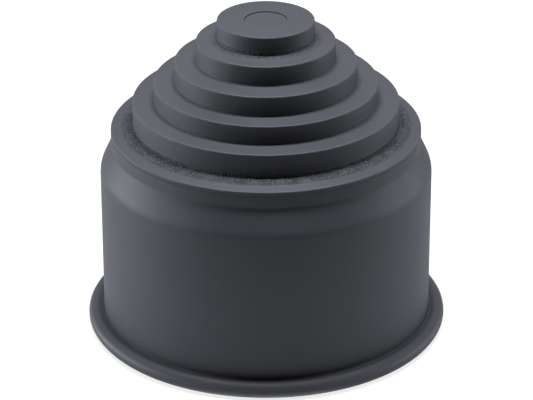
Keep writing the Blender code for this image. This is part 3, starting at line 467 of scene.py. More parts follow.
def circuit_board(name):
    """Green solder mask with the faint relief of copper runs under it and a glass weave."""
    n = Nodes(name)
    node = n.tree.nodes.new("ShaderNodeTexBrick")
    node.inputs["Scale"].default_value = 1 / (7 * MM)
    node.inputs["Mortar Size"].default_value = 0.06
    node.inputs["Mortar Smooth"].default_value = 0.2
    node.inputs["Color1"].default_value = (0, 0, 0, 1)
    node.inputs["Color2"].default_value = (0, 0, 0, 1)
    node.inputs["Mortar"].default_value = (1, 1, 1, 1)
    n.link(n.place, node.inputs["Vector"])
    runs = n.ramp(node.outputs["Fac"], 0.2, 0.8)
    cloud = n.noise(12 * MM, 2.0)
    weave = n.noise(0.35 * MM, 1.0)
    tone = n.mix(runs, (0.008, 0.085, 0.035), (0.02, 0.17, 0.06))
    tone = n.mix(n.times(n.ramp(cloud, 0.3, 0.7), 0.3), tone, (0.012, 0.11, 0.05))
    normal = n.bump(weave, 0.008 * MM, 0.5, n.bump(runs, 0.05 * MM))
    return n.finish(tone, n.ramp(weave, 0.2, 0.8, 0.26, 0.36), normal)


def cell_sleeve(name):
    """Blue shrink sleeve over a battery cell: glossy, slightly wrinkled along its length."""
    n = Nodes(name)
    cloud = n.noise(10 * MM, 2.0)
    wrinkle = n.noise(2.5 * MM, 3.0, 0.5, (1, 1, 0.35))
    tone = n.mix(n.ramp(cloud, 0.3, 0.7), (0.03, 0.12, 0.33), (0.05, 0.17, 0.42))
    return n.finish(tone, n.ramp(wrinkle, 0.3, 0.7, 0.22, 0.38), n.bump(wrinkle, 0.12 * MM, 0.5))


def make_materials():
    # The tiers' top edges, which get a painted highlight
    highlit_edge_rings = [(radius, top) for radius, top, _ in TIERS]
    stipple = []
    for (radius, _, foot), (width, strength) in zip(TIERS, LEDGE_STIPPLE):
        stipple.append((radius, radius + width, foot, strength))
    return {
        "hood": casing_plastic("hood_plastic", CASING_COLOUR, highlit_edge_rings, stipple),
        "casing": casing_plastic("casing_plastic", CASING_COLOUR),
        # The rim's colour is the casing colour made paler: painted light on the bead
        "rim": casing_plastic("rim_rubber", shade(CASING_COLOUR, 1.12)),
        "seal": plain_plastic("seal_rubber", (0.018, 0.018, 0.020), 0.42),
        "inner_plastic": plain_plastic("inner_plastic", (0.26, 0.27, 0.29), 0.5),
        "impeller": plain_plastic("impeller_plastic", (0.50, 0.53, 0.57), 0.34),
        "nylon": plain_plastic("nylon", (0.72, 0.69, 0.60), 0.42),
        "steel": machined_metal("plated_steel", (0.56, 0.56, 0.57)),
        "bronze": machined_metal("bronze", (0.50, 0.33, 0.16), 0.38),
        "copper": machined_metal("copper_winding", (0.62, 0.27, 0.13), 0.36, (1, 1, 30)),
        "magnet": plain_plastic("ferrite", (0.045, 0.045, 0.05), 0.55, 0.3 * MM, 0.03 * MM),
        "cell_wrap": cell_sleeve("cell_sleeve"),
        "board": circuit_board("solder_mask"),
        "component": plain_plastic("epoxy_black", (0.022, 0.022, 0.025), 0.4, 0.25 * MM, 0.02 * MM),
        "red_wire": plain_plastic("red_insulation", (0.45, 0.02, 0.016), 0.36),
        "black_wire": plain_plastic("black_insulation", (0.02, 0.02, 0.022), 0.36),
        "solder": machined_metal("solder", (0.62, 0.62, 0.64), 0.22, (1, 1, 1)),
    }


def dress_cad_nodes(materials):
    """Gives every CAD node that still shows the material of its slot in the record."""
    for part in frame["record"]["subparts"]:
        node = frame["nodes"][part["node"]]
        for slot in node.material_slots:
            slot.material = materials[part["material_slot"]]


# ---------------------------------------------------------------- mesh helpers


def finished(name, bm, material, body, crease=CREASE):
    """Makes a piece of bm, smooth except at its creases, that rides on body."""
    bmesh.ops.recalc_face_normals(bm, faces=bm.faces)
    mesh = bpy.data.meshes.new(name)
    bm.to_mesh(mesh)
    bm.free()
    mesh.shade_smooth()
    mesh.set_sharp_from_angle(angle=math.radians(crease))
    mesh.materials.append(material)
    piece = bpy.data.objects.new(name, mesh)
    bpy.context.scene.collection.objects.link(piece)
    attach(piece, body)
    return piece


def standing_for(piece, node):
    """Hides the CAD node, for piece to show in its place."""
    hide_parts(node)


def cut(piece, cutter):
    """Cuts the closed shape in cutter, a bmesh, out of piece for good."""
    bmesh.ops.recalc_face_normals(cutter, faces=cutter.faces)
    mesh = bpy.data.meshes.new("cutter")
    cutter.to_mesh(mesh)
    cutter.free()
    tool = bpy.data.objects.new("cutter", mesh)
    bpy.context.scene.collection.objects.link(tool)
    modifier = piece.modifiers.new("cut", "BOOLEAN")
    modifier.operation = "DIFFERENCE"
    modifier.object = tool
    graph = bpy.context.evaluated_depsgraph_get()
    result = bpy.data.meshes.new_from_object(piece.evaluated_get(graph))
    piece.modifiers.clear()
    piece.data = result
    result.set_sharp_from_angle(angle=math.radians(CREASE))
    bpy.data.objects.remove(tool)


def polar(radius, degrees, z=0.0):
    angle = math.radians(degrees)
    return Vector((radius * math.cos(angle), radius * math.sin(angle), z))


def arc(centre, radius, start, end, steps):
    """Points on a circle from the angle start to the angle end, in radians."""
    x, z = centre
    angles = [start + (end - start) * i / steps for i in range(steps + 1)]
    return [(x + radius * math.cos(angle), z + radius * math.sin(angle)) for angle in angles]


def rounded(points):
    """An outline with its corners eased. A point is (x, y) or (x, y, rounding)."""
    steps = 4
    result = []
    count = len(points)
    for i, point in enumerate(points):
        at = Vector(point[:2])
        ease = point[2] if len(point) > 2 else 0.0
        before = Vector(points[i - 1][:2]) - at
        after = Vector(points[(i + 1) % count][:2]) - at
        reach = min(ease, 0.45 * before.length, 0.45 * after.length)
        if reach <= 0:
            result.append(tuple(at))
            continue
        start = at + before.normalized() * reach
        end = at + after.normalized() * reach
        for k in range(steps + 1):
            t = k / steps
            result.append(tuple(start * (1 - t) ** 2 + at * (2 * t * (1 - t)) + end * t**2))
    return result


def tube(inner, outer, low, high, ease=0.0):
    return rounded([(inner, low, ease), (outer, low, ease), (outer, high, ease), (inner, high, ease)])


def rod(radius, low, high, ease=0.0):
    return rounded([(0, low), (radius, low, ease), (radius, high, ease), (0, high)])


def turn(bm, profile, segments=ROUND, centre=(0, 0, 0)):
    """Adds the solid that a closed (radius, height) outline sweeps about +Z through centre."""
    cx, cy, cz = centre
    loops = []
    for radius, z in profile:
        if radius < 1e-7:
            loops.append([bm.verts.new((cx, cy, cz + z))])
            continue
        points = (polar(radius, 360 * i / segments, z) for i in range(segments))
        loops.append([bm.verts.new((cx + p.x, cy + p.y, cz + p.z)) for p in points])
    for a, b in zip(loops, loops[1:] + loops[:1]):
        if len(a) == len(b) == 1:
            continue
        for i in range(segments):
            corners = [a[i % len(a)], a[(i + 1) % len(a)], b[(i + 1) % len(b)], b[i % len(b)]]
            bm.faces.new(dict.fromkeys(corners))


def bridge(bm, loops):
    """Adds the faces between each loop of points and the next."""
    for a, b in zip(loops, loops[1:]):
        for i in range(len(a)):
            j = (i + 1) % len(a)
            bm.faces.new((a[i], a[j], b[j], b[i]))


def inset(outline, amount):
    """The counter-clockwise outline moved inward by amount, with a limit where a corner is sharp."""
    moved = []
    count = len(outline)
    for i, point in enumerate(outline):
        at = Vector(point[:2])
        before = (at - Vector(outline[i - 1][:2])).normalized()
        after = (Vector(outline[(i + 1) % count][:2]) - at).normalized()
        inward = Vector((-(before + after).y, (before + after).x)).normalized()
        reach = max(0.4, inward.dot(Vector((-after.y, after.x))))
        moved.append(at + inward * amount / reach)
    return moved


def prism(bm, outline, low, high, ease=0.0):
    """Adds an upright prism of a counter-clockwise (x, y) outline, its top and bottom edges eased."""
    steps = 3 if ease else 0
    sides = []
    for k in reversed(range(steps + 1)):
        angle = math.pi / 2 * k / max(1, steps)
        sides.append((low + ease * (1 - math.sin(angle)), ease * (1 - math.cos(angle))))
    sides += [(high - (z - low), shrink) for z, shrink in reversed(sides)]
    loops = [[bm.verts.new((p.x, p.y, z)) for p in inset(outline, shrink)] for z, shrink in sides]
    bridge(bm, loops)
    bm.faces.new(loops[0][::-1])
    bm.faces.new(loops[-1])


def box_outline(width, depth, x=0.0, y=0.0, corner=0.0):
    w, d = width / 2, depth / 2
    points = [(x - w, y - d, corner), (x + w, y - d, corner), (x + w, y + d, corner), (x - w, y + d, corner)]
    return rounded(points)


def turned_outline(points, degrees, shift=(0, 0)):
    """The (x, y) points turned about the origin, then shifted."""
    spin = Matrix.Rotation(math.radians(degrees), 2)
    return [spin @ Vector(p[:2]) + Vector(shift) for p in points]


def sector(inner, outer, start, end, steps, corner=0.0):
    """The counter-clockwise outline of an arc-shaped plate."""
    angles = [start + (end - start) * i / steps for i in range(steps + 1)]
    out = [tuple(polar(outer, a).xy) for a in angles]
    back = [tuple(polar(inner, a).xy) for a in reversed(angles)]
    ends = {0, len(out) - 1, len(out), len(out) + len(back) - 1}
    return rounded([(*p, corner if i in ends else 0.0) for i, p in enumerate(out + back)])


# ---------------------------------------------------------------- casing


def hood_profile():
    points = [(BUTTON_HOLE_R, HOOD_TOP_Z, SMALL_EDGE)]
    for radius, top, foot in TIERS[:-1]:
        points += [(radius, top, EDGE), (radius, foot, SMALL_EDGE)]
    inside = SKIRT_R - WALL
    points += [
        (COLLAR_R, COLLAR_TOP_Z, EDGE),
        (COLLAR_R, SEAM_Z, 0.1 * MM),
        (SKIRT_R, SEAM_Z),
        (SKIRT_R, SEAL_Z + GROOVE_HALF, SMALL_EDGE),
        (SKIRT_R - GROOVE_DEPTH, SEAL_Z + GROOVE_HALF),
        (SKIRT_R - GROOVE_DEPTH, SEAL_Z - GROOVE_HALF),
        (SKIRT_R, SEAL_Z - GROOVE_HALF, SMALL_EDGE),
        (SKIRT_R, SKIRT_FOOT_Z, 0.6 * MM),
        (inside, SKIRT_FOOT_Z, 0.6 * MM),
        (inside, COLLAR_TOP_Z - WALL, 0.8 * MM),
    ]
    for (radius, top, _), (_, ledge, _) in zip(TIERS[-2::-1], TIERS[:0:-1]):
        points += [(radius - WALL, ledge - WALL, EDGE), (radius - WALL, top - WALL, 0.8 * MM)]
    ceiling = HOOD_TOP_Z - WALL
    points += [
        (BOSS_OUT, ceiling, 0.5 * MM),
        (BOSS_OUT, BOSS_FOOT_Z, SMALL_EDGE),
        (BOSS_IN, BOSS_FOOT_Z, SMALL_EDGE),
        (BOSS_IN, ceiling),
        (BUTTON_HOLE_R, ceiling),
    ]
    return rounded(points)


def make_hood(materials):
    bm = bmesh.new()
    turn(bm, hood_profile(), CASING_ROUND)
    standing_for(finished("hood_moulding", bm, materials["hood"], "hood"), "stepped_hood")


def grain_lift(at, share):
    """How high the grain stands at a point, share of the way out: it thins out in patches."""
    patch = 0.5 + 0.5 * noise.noise(at / GRIT_PATCH + SEED)
    grain = noise.noise(at / GRIT_SIZE + SEED) + 0.6 * noise.noise(at / (0.5 * GRIT_SIZE) - SEED)
    thinning = 5 * max(0.0, share - 0.35 - 0.5 * patch)
    return min(1.0, 4 * share) * max(0.0, 1 - thinning) * max(0.0, 0.35 + grain)


def add_grit(bm, inner, outer, z_inner, z_outer, height):
    """Adds a crust of coarse grain on a ledge, beside the foot of its inner wall: a closed shape."""
    rows = round((outer - inner) / GRIT_STEP)
    segments = round(2 * math.pi * outer / GRIT_STEP)
    loops = []
    for j in range(rows + 1):
        share = j / rows
        radius = inner + (outer - inner) * share
        base = z_inner + (z_outer - z_inner) * share - GRIT_SUNK
        around = [polar(radius, 360 * i / segments) for i in range(segments)]
        loops.append([bm.verts.new((at.x, at.y, base + height * grain_lift(at, share))) for at in around])
    for radius, base in ((outer, z_outer), (inner, z_inner)):
        under = (polar(radius, 360 * i / segments, base - GRIT_DEPTH) for i in range(segments))
        loops.append([bm.verts.new(point) for point in under])
    bridge(bm, loops + loops[:1])


def make_ledge_grain(materials):
    bm = bmesh.new()
    for index, width, height in GRIT_RINGS:
        radius, _, foot = TIERS[index]
        ledge_r, ledge_z, _ = TIERS[index + 1]
        slope = (ledge_z - foot) / (ledge_r - radius)
        add_grit(bm, radius, radius + width, foot, foot + slope * width, height)
    finished("ledge_grain", bm, materials["hood"], "hood", 180)


def make_hood_seal(materials):
    bm = bmesh.new()
    turn(bm, arc((SKIRT_R - SEAL_SUNK, SEAL_Z), SEAL_WIRE_R, 0, 2 * math.pi, 16)[:-1])
    standing_for(finished("hood_seal_ring", bm, materials["seal"], "hood"), "hood_seal")


def make_gate_pit_shade(materials):
    """A small dark nub beside the foot of the top tier: painted shade that stands for the pit the mould's
    gate left.
    """
    radius, _, foot = TIERS[0]
    bm = bmesh.new()
    ball = arc((0, 0), GATE_R, -math.pi / 2, math.pi / 2, 12)
    turn(bm, ball, TINY_ROUND, polar(radius + GATE_OUT, GATE_ANGLE, foot))
    finished("gate_nub", bm, materials["seal"], "hood")


def make_button(materials):
    top = HOOD_TOP_Z - BUTTON_RECESS
    flange_top = HOOD_TOP_Z - WALL - GAP
    flange_foot = flange_top - FLANGE_T
    flange_r = BOSS_IN - GAP
    outline = [
        (0, PLUNGER_TOP_Z + GAP),
        (STEM_R, PLUNGER_TOP_Z + GAP, 0.3 * MM),
        (STEM_R, flange_foot, 0.5 * MM),
        (flange_r, flange_foot, SMALL_EDGE),
        (flange_r, flange_top, SMALL_EDGE),
        (BUTTON_R, flange_top, 0.1 * MM),
        (BUTTON_R, top, 0.12 * MM),
        (BUTTON_R - 1.2 * MM, top, 0.4 * MM),
        (0, top - 0.12 * MM),
    ]
    bm = bmesh.new()
    turn(bm, rounded(outline), BUTTON_ROUND)
    standing_for(finished("button_cap", bm, materials["casing"], "button"), "power_button")


def make_spring(materials):
    """The coil spring under the button."""
    foot, top = (corner[2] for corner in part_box("button_spring"))
    steps, sides = 48, 12
    count = round(SPRING_TURNS * steps)
    bm = bmesh.new()
    rings = []
    for i in range(count + 1):
        angle = 360 * i / steps
        height = foot + SPRING_WIRE_R + (top - foot - 2 * SPRING_WIRE_R) * i / count
        section = arc((SPRING_R, height), SPRING_WIRE_R, 0, 2 * math.pi, sides)[:-1]
        rings.append([bm.verts.new(polar(radius, angle, z)) for radius, z in section])
    bridge(bm, rings)
    bm.faces.new(rings[0])
    bm.faces.new(rings[-1][::-1])
    spring = finished("button_coil", bm, materials["steel"], "hood")
    standing_for(spring, "button_spring")
    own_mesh(spring)


def make_drum(materials):
    """The drum with the guard's tabs and the screw bosses inside it."""
    inside = BODY_R - WALL
    outline = [
        (BODY_R, DRUM_FOOT_Z, 0.3 * MM),
        (BODY_R, SHOULDER_Z, 2.0 * MM),
        (COLLAR_R, COLLAR_FOOT_Z, 0.7 * MM),
        (COLLAR_R, SEAM_Z - SEAM_GAP, 0.1 * MM),
        (COLLAR_R - WALL, SEAM_Z - SEAM_GAP, 0.3 * MM),
        (COLLAR_R - WALL, COLLAR_FOOT_Z - 1.0 * MM, 0.7 * MM),
        (inside, SHOULDER_Z - 1.0 * MM, 1.0 * MM),
        (inside, DRUM_FOOT_Z, 0.3 * MM),
    ]
    bm = bmesh.new()
    turn(bm, rounded(outline), CASING_ROUND)
    for middle in TAB_ANGLES:
        tab = sector(TAB_IN_R, TAB_OUT_R, middle - TAB_HALF, middle + TAB_HALF, 24, 0.8 * MM)
        prism(bm, tab, TAB_Z, TAB_TOP_Z, 0.3 * MM)
    boss = tube(SHELL_BOSS_IN, SHELL_BOSS_OUT, PLATE_Z + PLATE_T + GAP, SHELL_BOSS_TOP_Z, 0.3 * MM)
    ring_r, angles = BASE_SCREW_RING
    for angle in angles:
        turn(bm, boss, BOSS_ROUND, polar(ring_r, angle))
    standing_for(finished("drum_moulding", bm, materials["casing"], "casing"), "body_shell")


def make_rim(materials):
    """The round bead, blended into the wall by a small hollow fillet, with the leg inside the wall."""
    slot_out = BODY_R + RIM_PLAY
    leg_out = BODY_R - WALL - GAP
    fillet_x = slot_out + RIM_FILLET - RIM_CENTRE_R
    blend = math.acos(fillet_x / (RIM_R + RIM_FILLET))
    fillet_z = RIM_R + (RIM_R + RIM_FILLET) * math.sin(blend)
    hollow = arc((slot_out + RIM_FILLET, fillet_z), RIM_FILLET, math.pi, math.pi + blend, 8)
    bead = hollow[:-1] + arc((RIM_CENTRE_R, RIM_R), RIM_R, blend, -math.pi / 2, 36)
    leg = [
        (RIM_LEG_IN, 0, 0.4 * MM),
        (RIM_LEG_IN, RIM_LEG_TOP_Z, 0.3 * MM),
        (leg_out, RIM_LEG_TOP_Z, 0.2 * MM),
        (leg_out, RIM_SLOT_Z),
        (slot_out, RIM_SLOT_Z),
    ]
    bm = bmesh.new()
    turn(bm, rounded(leg + bead), CASING_ROUND)
    standing_for(finished("rim_moulding", bm, materials["rim"], "casing"), "base_rim")


# ---------------------------------------------------------------- wash side


def make_guard_grille(materials):
    top = GRILLE_Z + GRILLE_T
    bm = bmesh.new()
    for inner, outer in GRILLE_BARS:
        turn(bm, tube(inner, outer, GRILLE_Z, top, 0.5 * MM))
    bar = box_outline(SPOKE_LENGTH, SPOKE_WIDTH, x=SPOKE_MIDDLE_R)
    for i in range(SPOKES):
        spoke = turned_outline(bar, 360 * (i + 0.5) / SPOKES)
        prism(bm, spoke, GRILLE_Z + SPOKE_SUNK, top - SPOKE_SUNK, 0.35 * MM)
    standing_for(finished("grille_moulding", bm, materials["casing"], "guard"), "guard_grille")


def make_guard_ring(materials):
    flange_top = GRILLE_Z + GRILLE_T
    ring_in = GRILLE_BARS[-1][1] + GAP
    ring_out = ring_in + GUARD_RING_T
    outline = [
        (ring_in, GRILLE_Z, 0.2 * MM),
        (GUARD_FLANGE_R, GRILLE_Z, 0.5 * MM),
        (GUARD_FLANGE_R, flange_top, 0.4 * MM),
        (ring_out, flange_top, 0.3 * MM),
        (ring_out, LUG_Z + LUG_T, 0.3 * MM),
        (ring_in, LUG_Z + LUG_T, 0.3 * MM),
    ]
    bm = bmesh.new()
    turn(bm, rounded(outline))
    for middle in TAB_ANGLES:
        lug = sector(ring_in + 0.8 * MM, LUG_R, middle - LUG_HALF, middle + LUG_HALF, 16, 0.6 * MM)
        prism(bm, lug, LUG_Z, LUG_Z + LUG_T - 0.2 * MM, 0.25 * MM)
    standing_for(finished("guard_ring_moulding", bm, materials["casing"], "guard"), "guard_ring")


def blade_outline(inner, outer, thickness, sweep):
    """A swept-back blade seen from above, counter-clockwise: it lags by sweep degrees at its tip."""
    steps = 18
    near, far = [], []
    for i in range(steps + 1):
        share = i / steps
        radius = inner + (outer - inner) * share
        half = math.degrees(thickness / 2 / radius)
        lag = -sweep * share**1.4
        near.append(polar(radius, lag - half).xy)
        far.append(polar(radius, lag + half).xy)
    return near + far[::-1]


def make_impeller(materials):
    bore = SHAFT_R + SHAFT_PLAY
    outline = [
        (bore, HUB_FOOT_Z, 0.3 * MM),
        (HUB_R, HUB_FOOT_Z, 0.6 * MM),
        (HUB_R + 1.5 * MM, DISC_Z, 1.2 * MM),
        (IMPELLER_R, DISC_Z + 0.4 * MM, 0.5 * MM),
        (IMPELLER_R, DISC_TOP_Z, 0.5 * MM),
        (HUB_R, DISC_TOP_Z, 0.5 * MM),
        (HUB_R, HUB_TOP_Z, 0.3 * MM),
        (bore, HUB_TOP_Z, 0.3 * MM),
    ]
    bm = bmesh.new()
    turn(bm, rounded(outline))
    blade = blade_outline(HUB_R - 0.6 * MM, IMPELLER_R - 0.6 * MM, BLADE_T, BLADE_SWEEP)
    for i in range(BLADES):
        prism(bm, turned_outline(blade, 360 * i / BLADES), HUB_FOOT_Z - 0.4 * MM, DISC_Z + 1.0 * MM, 0.6 * MM)
    piece = finished("impeller_moulding", bm, materials["impeller"], "impeller")
    standing_for(piece, "impeller")


def make_shaft_nut(materials):
    hexagon = [polar(NUT_R, 60 * i).xy for i in range(6)]
    bm = bmesh.new()
    prism(bm, hexagon, NUT_Z, NUT_TOP_Z, 0.3 * MM)
    nut = finished("shaft_nut", bm, materials["steel"], "impeller")
    bore = bmesh.new()
    turn(bore, rod(SHAFT_R + SHAFT_PLAY, NUT_Z - 0.6 * MM, NUT_TOP_Z + 0.9 * MM), SMALL_ROUND)
    cut(nut, bore)
    standing_for(nut, "impeller_nut")


# ---------------------------------------------------------------- fasteners


def screw_shape(head_r, head_t, shank_r, length, facing):
    """A pan-head screw's head and shank as (radius, height), the head's seat at height 0."""
    points = [
        (0, -length),
        (shank_r * 0.5, -length, 0.1 * MM),
        (shank_r, -length + shank_r, 0.1 * MM),
        (shank_r, 0),
        (head_r, 0, 0.15 * MM),
        (head_r, head_t * 0.45, 0.3 * MM),
        (head_r * 0.72, head_t, 0.35 * MM),
        (0, head_t),
    ]
    return [(r, facing * z) for r, z in rounded(points)]


def make_screws(materials, name, ring, seat_z, sizes, facing=1):
    """A ring of pan-head screws with a cross recess, each standing for its own node.

    facing is 1 where the heads are on top, and -1 where they are underneath.
    """
    radius, angles = ring
    head_r, head_t, _, _ = sizes
    bm = bmesh.new()
    turn(bm, screw_shape(*sizes, facing), SCREW_ROUND)
    first = finished(f"{name}_head_1", bm, materials["steel"], "casing", SCREW_CREASE)
    cross = bmesh.new()
    deep, over = sorted((facing * head_t * 0.35, facing * (head_t + 1 * MM)))
    for width, depth in ((head_r * 1.1, head_r * 0.26), (head_r * 0.26, head_r * 1.1)):
        prism(cross, box_outline(width, depth), deep, over)
    cut(first, cross)
    first.parent = None
    for number, angle in enumerate(angles, 1):
        piece = first
        if number > 1:
            piece = bpy.data.objects.new(f"{name}_head_{number}", first.data)
            bpy.context.scene.collection.objects.link(piece)
        spin = Matrix.Rotation(math.radians(37 * number), 4, "Z")
        piece.matrix_world = Matrix.Translation(polar(radius, angle, seat_z)) @ spin
        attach(piece, "casing")
        standing_for(piece, f"{name}_{number}")


# ---------------------------------------------------------------- electronics


def make_deck(materials):
    """The plate that carries the board."""
    bm = bmesh.new()
    turn(bm, rod(DECK_R, DECK_Z, DECK_TOP_Z, 0.5 * MM))
    piece = finished("deck_moulding", bm, materials["inner_plastic"], "casing")
    low, high = DECK_Z - MM, DECK_TOP_Z + MM
    holes = bmesh.new()
    prism(holes, box_outline(*LEAD_SLOT, 0, MOTOR_Y, 1.5 * MM), low, high)
    for radius, angle in LEAD_HOLES:
        turn(holes, rod(LEAD_HOLE_R, low, high), TINY_ROUND, polar(radius, angle))
    cut(piece, holes)
    standing_for(piece, "top_plate")


def make_deck_bosses(materials):
    foot, shoulder, top = DECK_TOP_Z - 0.2 * MM, DECK_TOP_Z + 1.2 * MM, BOARD_Z - GAP
    neck_r = 3.0 * MM
    boss = [
        (0, foot),
        (4.4 * MM, foot, 0.4 * MM),
        (neck_r, shoulder, 0.8 * MM),
        (neck_r, top, 0.2 * MM),
        (0, top),
    ]
    bm = bmesh.new()
    radius, angles = BOARD_SCREW_RING
    for angle in angles:
        turn(bm, rounded(boss), SCREW_ROUND, polar(radius, angle))
    finished("deck_bosses", bm, materials["inner_plastic"], "casing")


def board_outline():
    half = math.degrees(math.acos(SOCKET_MOUTH_Y / BOARD_R))
    start, end = 90 + half, 450 - half
    count = 120
    return [polar(BOARD_R, start + (end - start) * i / count).xy for i in range(count + 1)]


def make_board(materials):
    bm = bmesh.new()
    prism(bm, board_outline(), BOARD_Z, BOARD_TOP_Z, 0.12 * MM)
    standing_for(finished("board_laminate", bm, materials["board"], "casing"), "main_board")


def make_solder_pads(materials):
    """The bare rings under the screws' heads, the switch's pads, and the solder on the leads."""
    top = BOARD_TOP_Z
    bm = bmesh.new()
    radius, angles = BOARD_SCREW_RING
    bare = tube(1.6 * MM, 3.4 * MM, top - 0.02 * MM, top + 0.05 * MM)
    for angle in angles:
        turn(bm, bare, SCREW_ROUND, polar(radius, angle))
    pad = rod(0.9 * MM, top, top + 0.25 * MM, 0.2 * MM)
    for i in range(4):
        for side in (-1, 1):
            turn(bm, pad, PAD_ROUND, (side * SWITCH_PAD_X, (i - 1.5) * SWITCH_PAD_PITCH, 0))
    blob = [
        (0, top),
        (1.7 * MM, top, 0.1 * MM),
        (0.8 * MM, top + 0.9 * MM, 0.4 * MM),
        (0, top + 1.1 * MM),
    ]
    for x, y in SOLDER_BLOBS:
        turn(bm, rounded(blob), TINY_ROUND, (x, y, 0))
    finished("solder_pads", bm, materials["solder"], "casing")


def make_chip_resistors(materials):
    """Small chips with bright ends, in two uneven rows round the board, none by the driver chip."""
    top = BOARD_TOP_Z
    chips = bmesh.new()
    ends = bmesh.new()
    for i in range(CHIPS):
        at = polar(CHIP_ROWS[i % 2], CHIP_START + CHIP_PITCH * i)
        if abs(at.x) < DRIVER_ROOM and at.y < -DRIVER_ROOM:
            continue
        turned = turned_outline(box_outline(1.5 * MM, 1.2 * MM), 90 * (i % 2), at.xy)
        prism(chips, turned, top, top + 0.55 * MM, 0.06 * MM)
        caps = turned_outline(box_outline(2.2 * MM, 1.24 * MM), 90 * (i % 2), at.xy)
        prism(ends, caps, top, top + 0.5 * MM, 0.08 * MM)
    finished("chip_resistors", chips, materials["component"], "casing")
    finished("chip_ends", ends, materials["solder"], "casing")


def make_switch(materials):
    floor = PARTS_Z + 2 * MM
    bm = bmesh.new()
    prism(bm, box_outline(SWITCH_SIZE, SWITCH_SIZE, 0, 0, 0.6 * MM), PARTS_Z, SWITCH_TOP_Z, 0.35 * MM)
    body = finished("switch_case", bm, materials["component"], "casing")
    well = bmesh.new()
    turn(well, rod(PLUNGER_R + 0.4 * MM, floor, SWITCH_TOP_Z + MM), SMALL_ROUND)
    for side in (-1, 1):
        slot = box_outline(1.0 * MM, 7.0 * MM, side * SWITCH_SIZE / 2)
        prism(well, slot, floor, SWITCH_TOP_Z - 2 * MM)
    cut(body, well)
    standing_for(body, "switch_body")
    bm = bmesh.new()
    turn(bm, rod(PLUNGER_R, PLUNGER_FOOT_Z, PLUNGER_TOP_Z, 0.5 * MM), SMALL_ROUND)
    standing_for(finished("plunger_stem", bm, materials["nylon"], "plunger"), "switch_plunger")


def make_capacitor(materials):
    """A can with a crimp near its foot and a recessed top."""
    r, top = CAPACITOR_R, PARTS_Z + CAPACITOR_H
    recess = top - 0.15 * MM
    can = [
        (0, PARTS_Z),
        (r, PARTS_Z, 0.3 * MM),
        (r, PARTS_Z + 1.0 * MM, 0.3 * MM),
        (r - 0.35 * MM, PARTS_Z + 1.5 * MM, 0.3 * MM),
        (r, PARTS_Z + 2.0 * MM, 0.3 * MM),
        (r, top, 0.7 * MM),
        (r - 0.9 * MM, top, 0.1 * MM),
        (r - 1.0 * MM, recess, 0.05 * MM),
        (0, recess),
    ]
    bm = bmesh.new()
    turn(bm, rounded(can), SMALL_ROUND, (CAPACITOR_X, 0, 0))
    standing_for(finished("capacitor_can", bm, materials["component"], "casing"), "capacitor")


def make_driver_chip(materials):
    bm = bmesh.new()
    case = box_outline(DRIVER_SIZE, DRIVER_SIZE, 0, DRIVER_Y, 0.15 * MM)
    prism(bm, case, PARTS_Z + 0.15 * MM, PARTS_Z + DRIVER_H, 0.2 * MM)
    standing_for(finished("driver_case", bm, materials["component"], "casing"), "driver_chip")
    legs = bmesh.new()
    for i in range(DRIVER_LEGS):
        y = DRIVER_Y + (i - (DRIVER_LEGS - 1) / 2) * DRIVER_LEG_PITCH
        for side in (-1, 1):
            leg = box_outline(1.8 * MM, 0.5 * MM, side * DRIVER_LEG_X, y)
            prism(legs, leg, PARTS_Z, PARTS_Z + 0.3 * MM, 0.05 * MM)
    finished("driver_legs", legs, materials["solder"], "casing")


def make_socket(materials):
    """The charging socket: a pressed shell, open at its mouth, with a tongue inside."""
    middle = SOCKET_MOUTH_Y - SOCKET_DEPTH / 2
    top = PARTS_Z + SOCKET_HEIGHT
    sheet = 0.5 * MM
    bm = bmesh.new()
    prism(bm, box_outline(SOCKET_WIDTH, SOCKET_DEPTH, 0, middle), PARTS_Z, top, 0.9 * MM)
    shell = finished("socket_shell", bm, materials["steel"], "casing")
    mouth = bmesh.new()
    inner = box_outline(SOCKET_WIDTH - 2 * sheet, SOCKET_DEPTH, 0, middle + 1.0 * MM)
    prism(mouth, inner, PARTS_Z + sheet, top - sheet, 0.7 * MM)
    cut(shell, mouth)
    standing_for(shell, "charging_socket")
    bm = bmesh.new()
    centre = PARTS_Z + SOCKET_HEIGHT / 2
    tongue = box_outline(6.0 * MM, SOCKET_DEPTH - 2.4 * MM, 0, middle - 0.7 * MM, 0.2 * MM)
    prism(bm, tongue, centre - 0.4 * MM, centre + 0.4 * MM, 0.1 * MM)
    finished("socket_tongue", bm, materials["component"], "casing")


def make_lead(materials, node, guide, slot):
    """A smooth wire along the Bezier curve of four guide points."""
    curve = bpy.data.curves.new(f"{node}_wire", "CURVE")
    curve.dimensions = "3D"
    curve.bevel_depth = LEAD_R
    curve.bevel_resolution = 4
    curve.resolution_u = 16
    curve.use_fill_caps = True
    spline = curve.splines.new("BEZIER")
    spline.bezier_points.add(1)
    start, start_handle, end_handle, end = guide
    for point, at, handle in zip(spline.bezier_points, (start, end), (start_handle, end_handle)):
        point.co = at
        point.handle_left = point.handle_right = handle
        point.handle_left_type = point.handle_right_type = "FREE"
    curve.materials.append(materials[slot])
    piece = bpy.data.objects.new(f"{node}_wire", curve)
    bpy.context.scene.collection.objects.link(piece)
    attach(piece, "casing")
    standing_for(piece, node)


def make_motor_leads(materials):
    rise = Vector((0, 0, 4.0 * MM))
    for name, side in (("red", 1), ("black", -1)):
        start = Vector((side * LEAD_MOTOR_X, MOTOR_Y, MOTOR_TOP_Z + GAP))
        end = Vector((side * LEAD_BOARD_X, LEAD_BOARD_Y, BOARD_Z - GAP))
        make_lead(materials, f"motor_lead_{name}", (start, start + rise, end - rise, end), f"{name}_wire")


# ---------------------------------------------------------------- studio


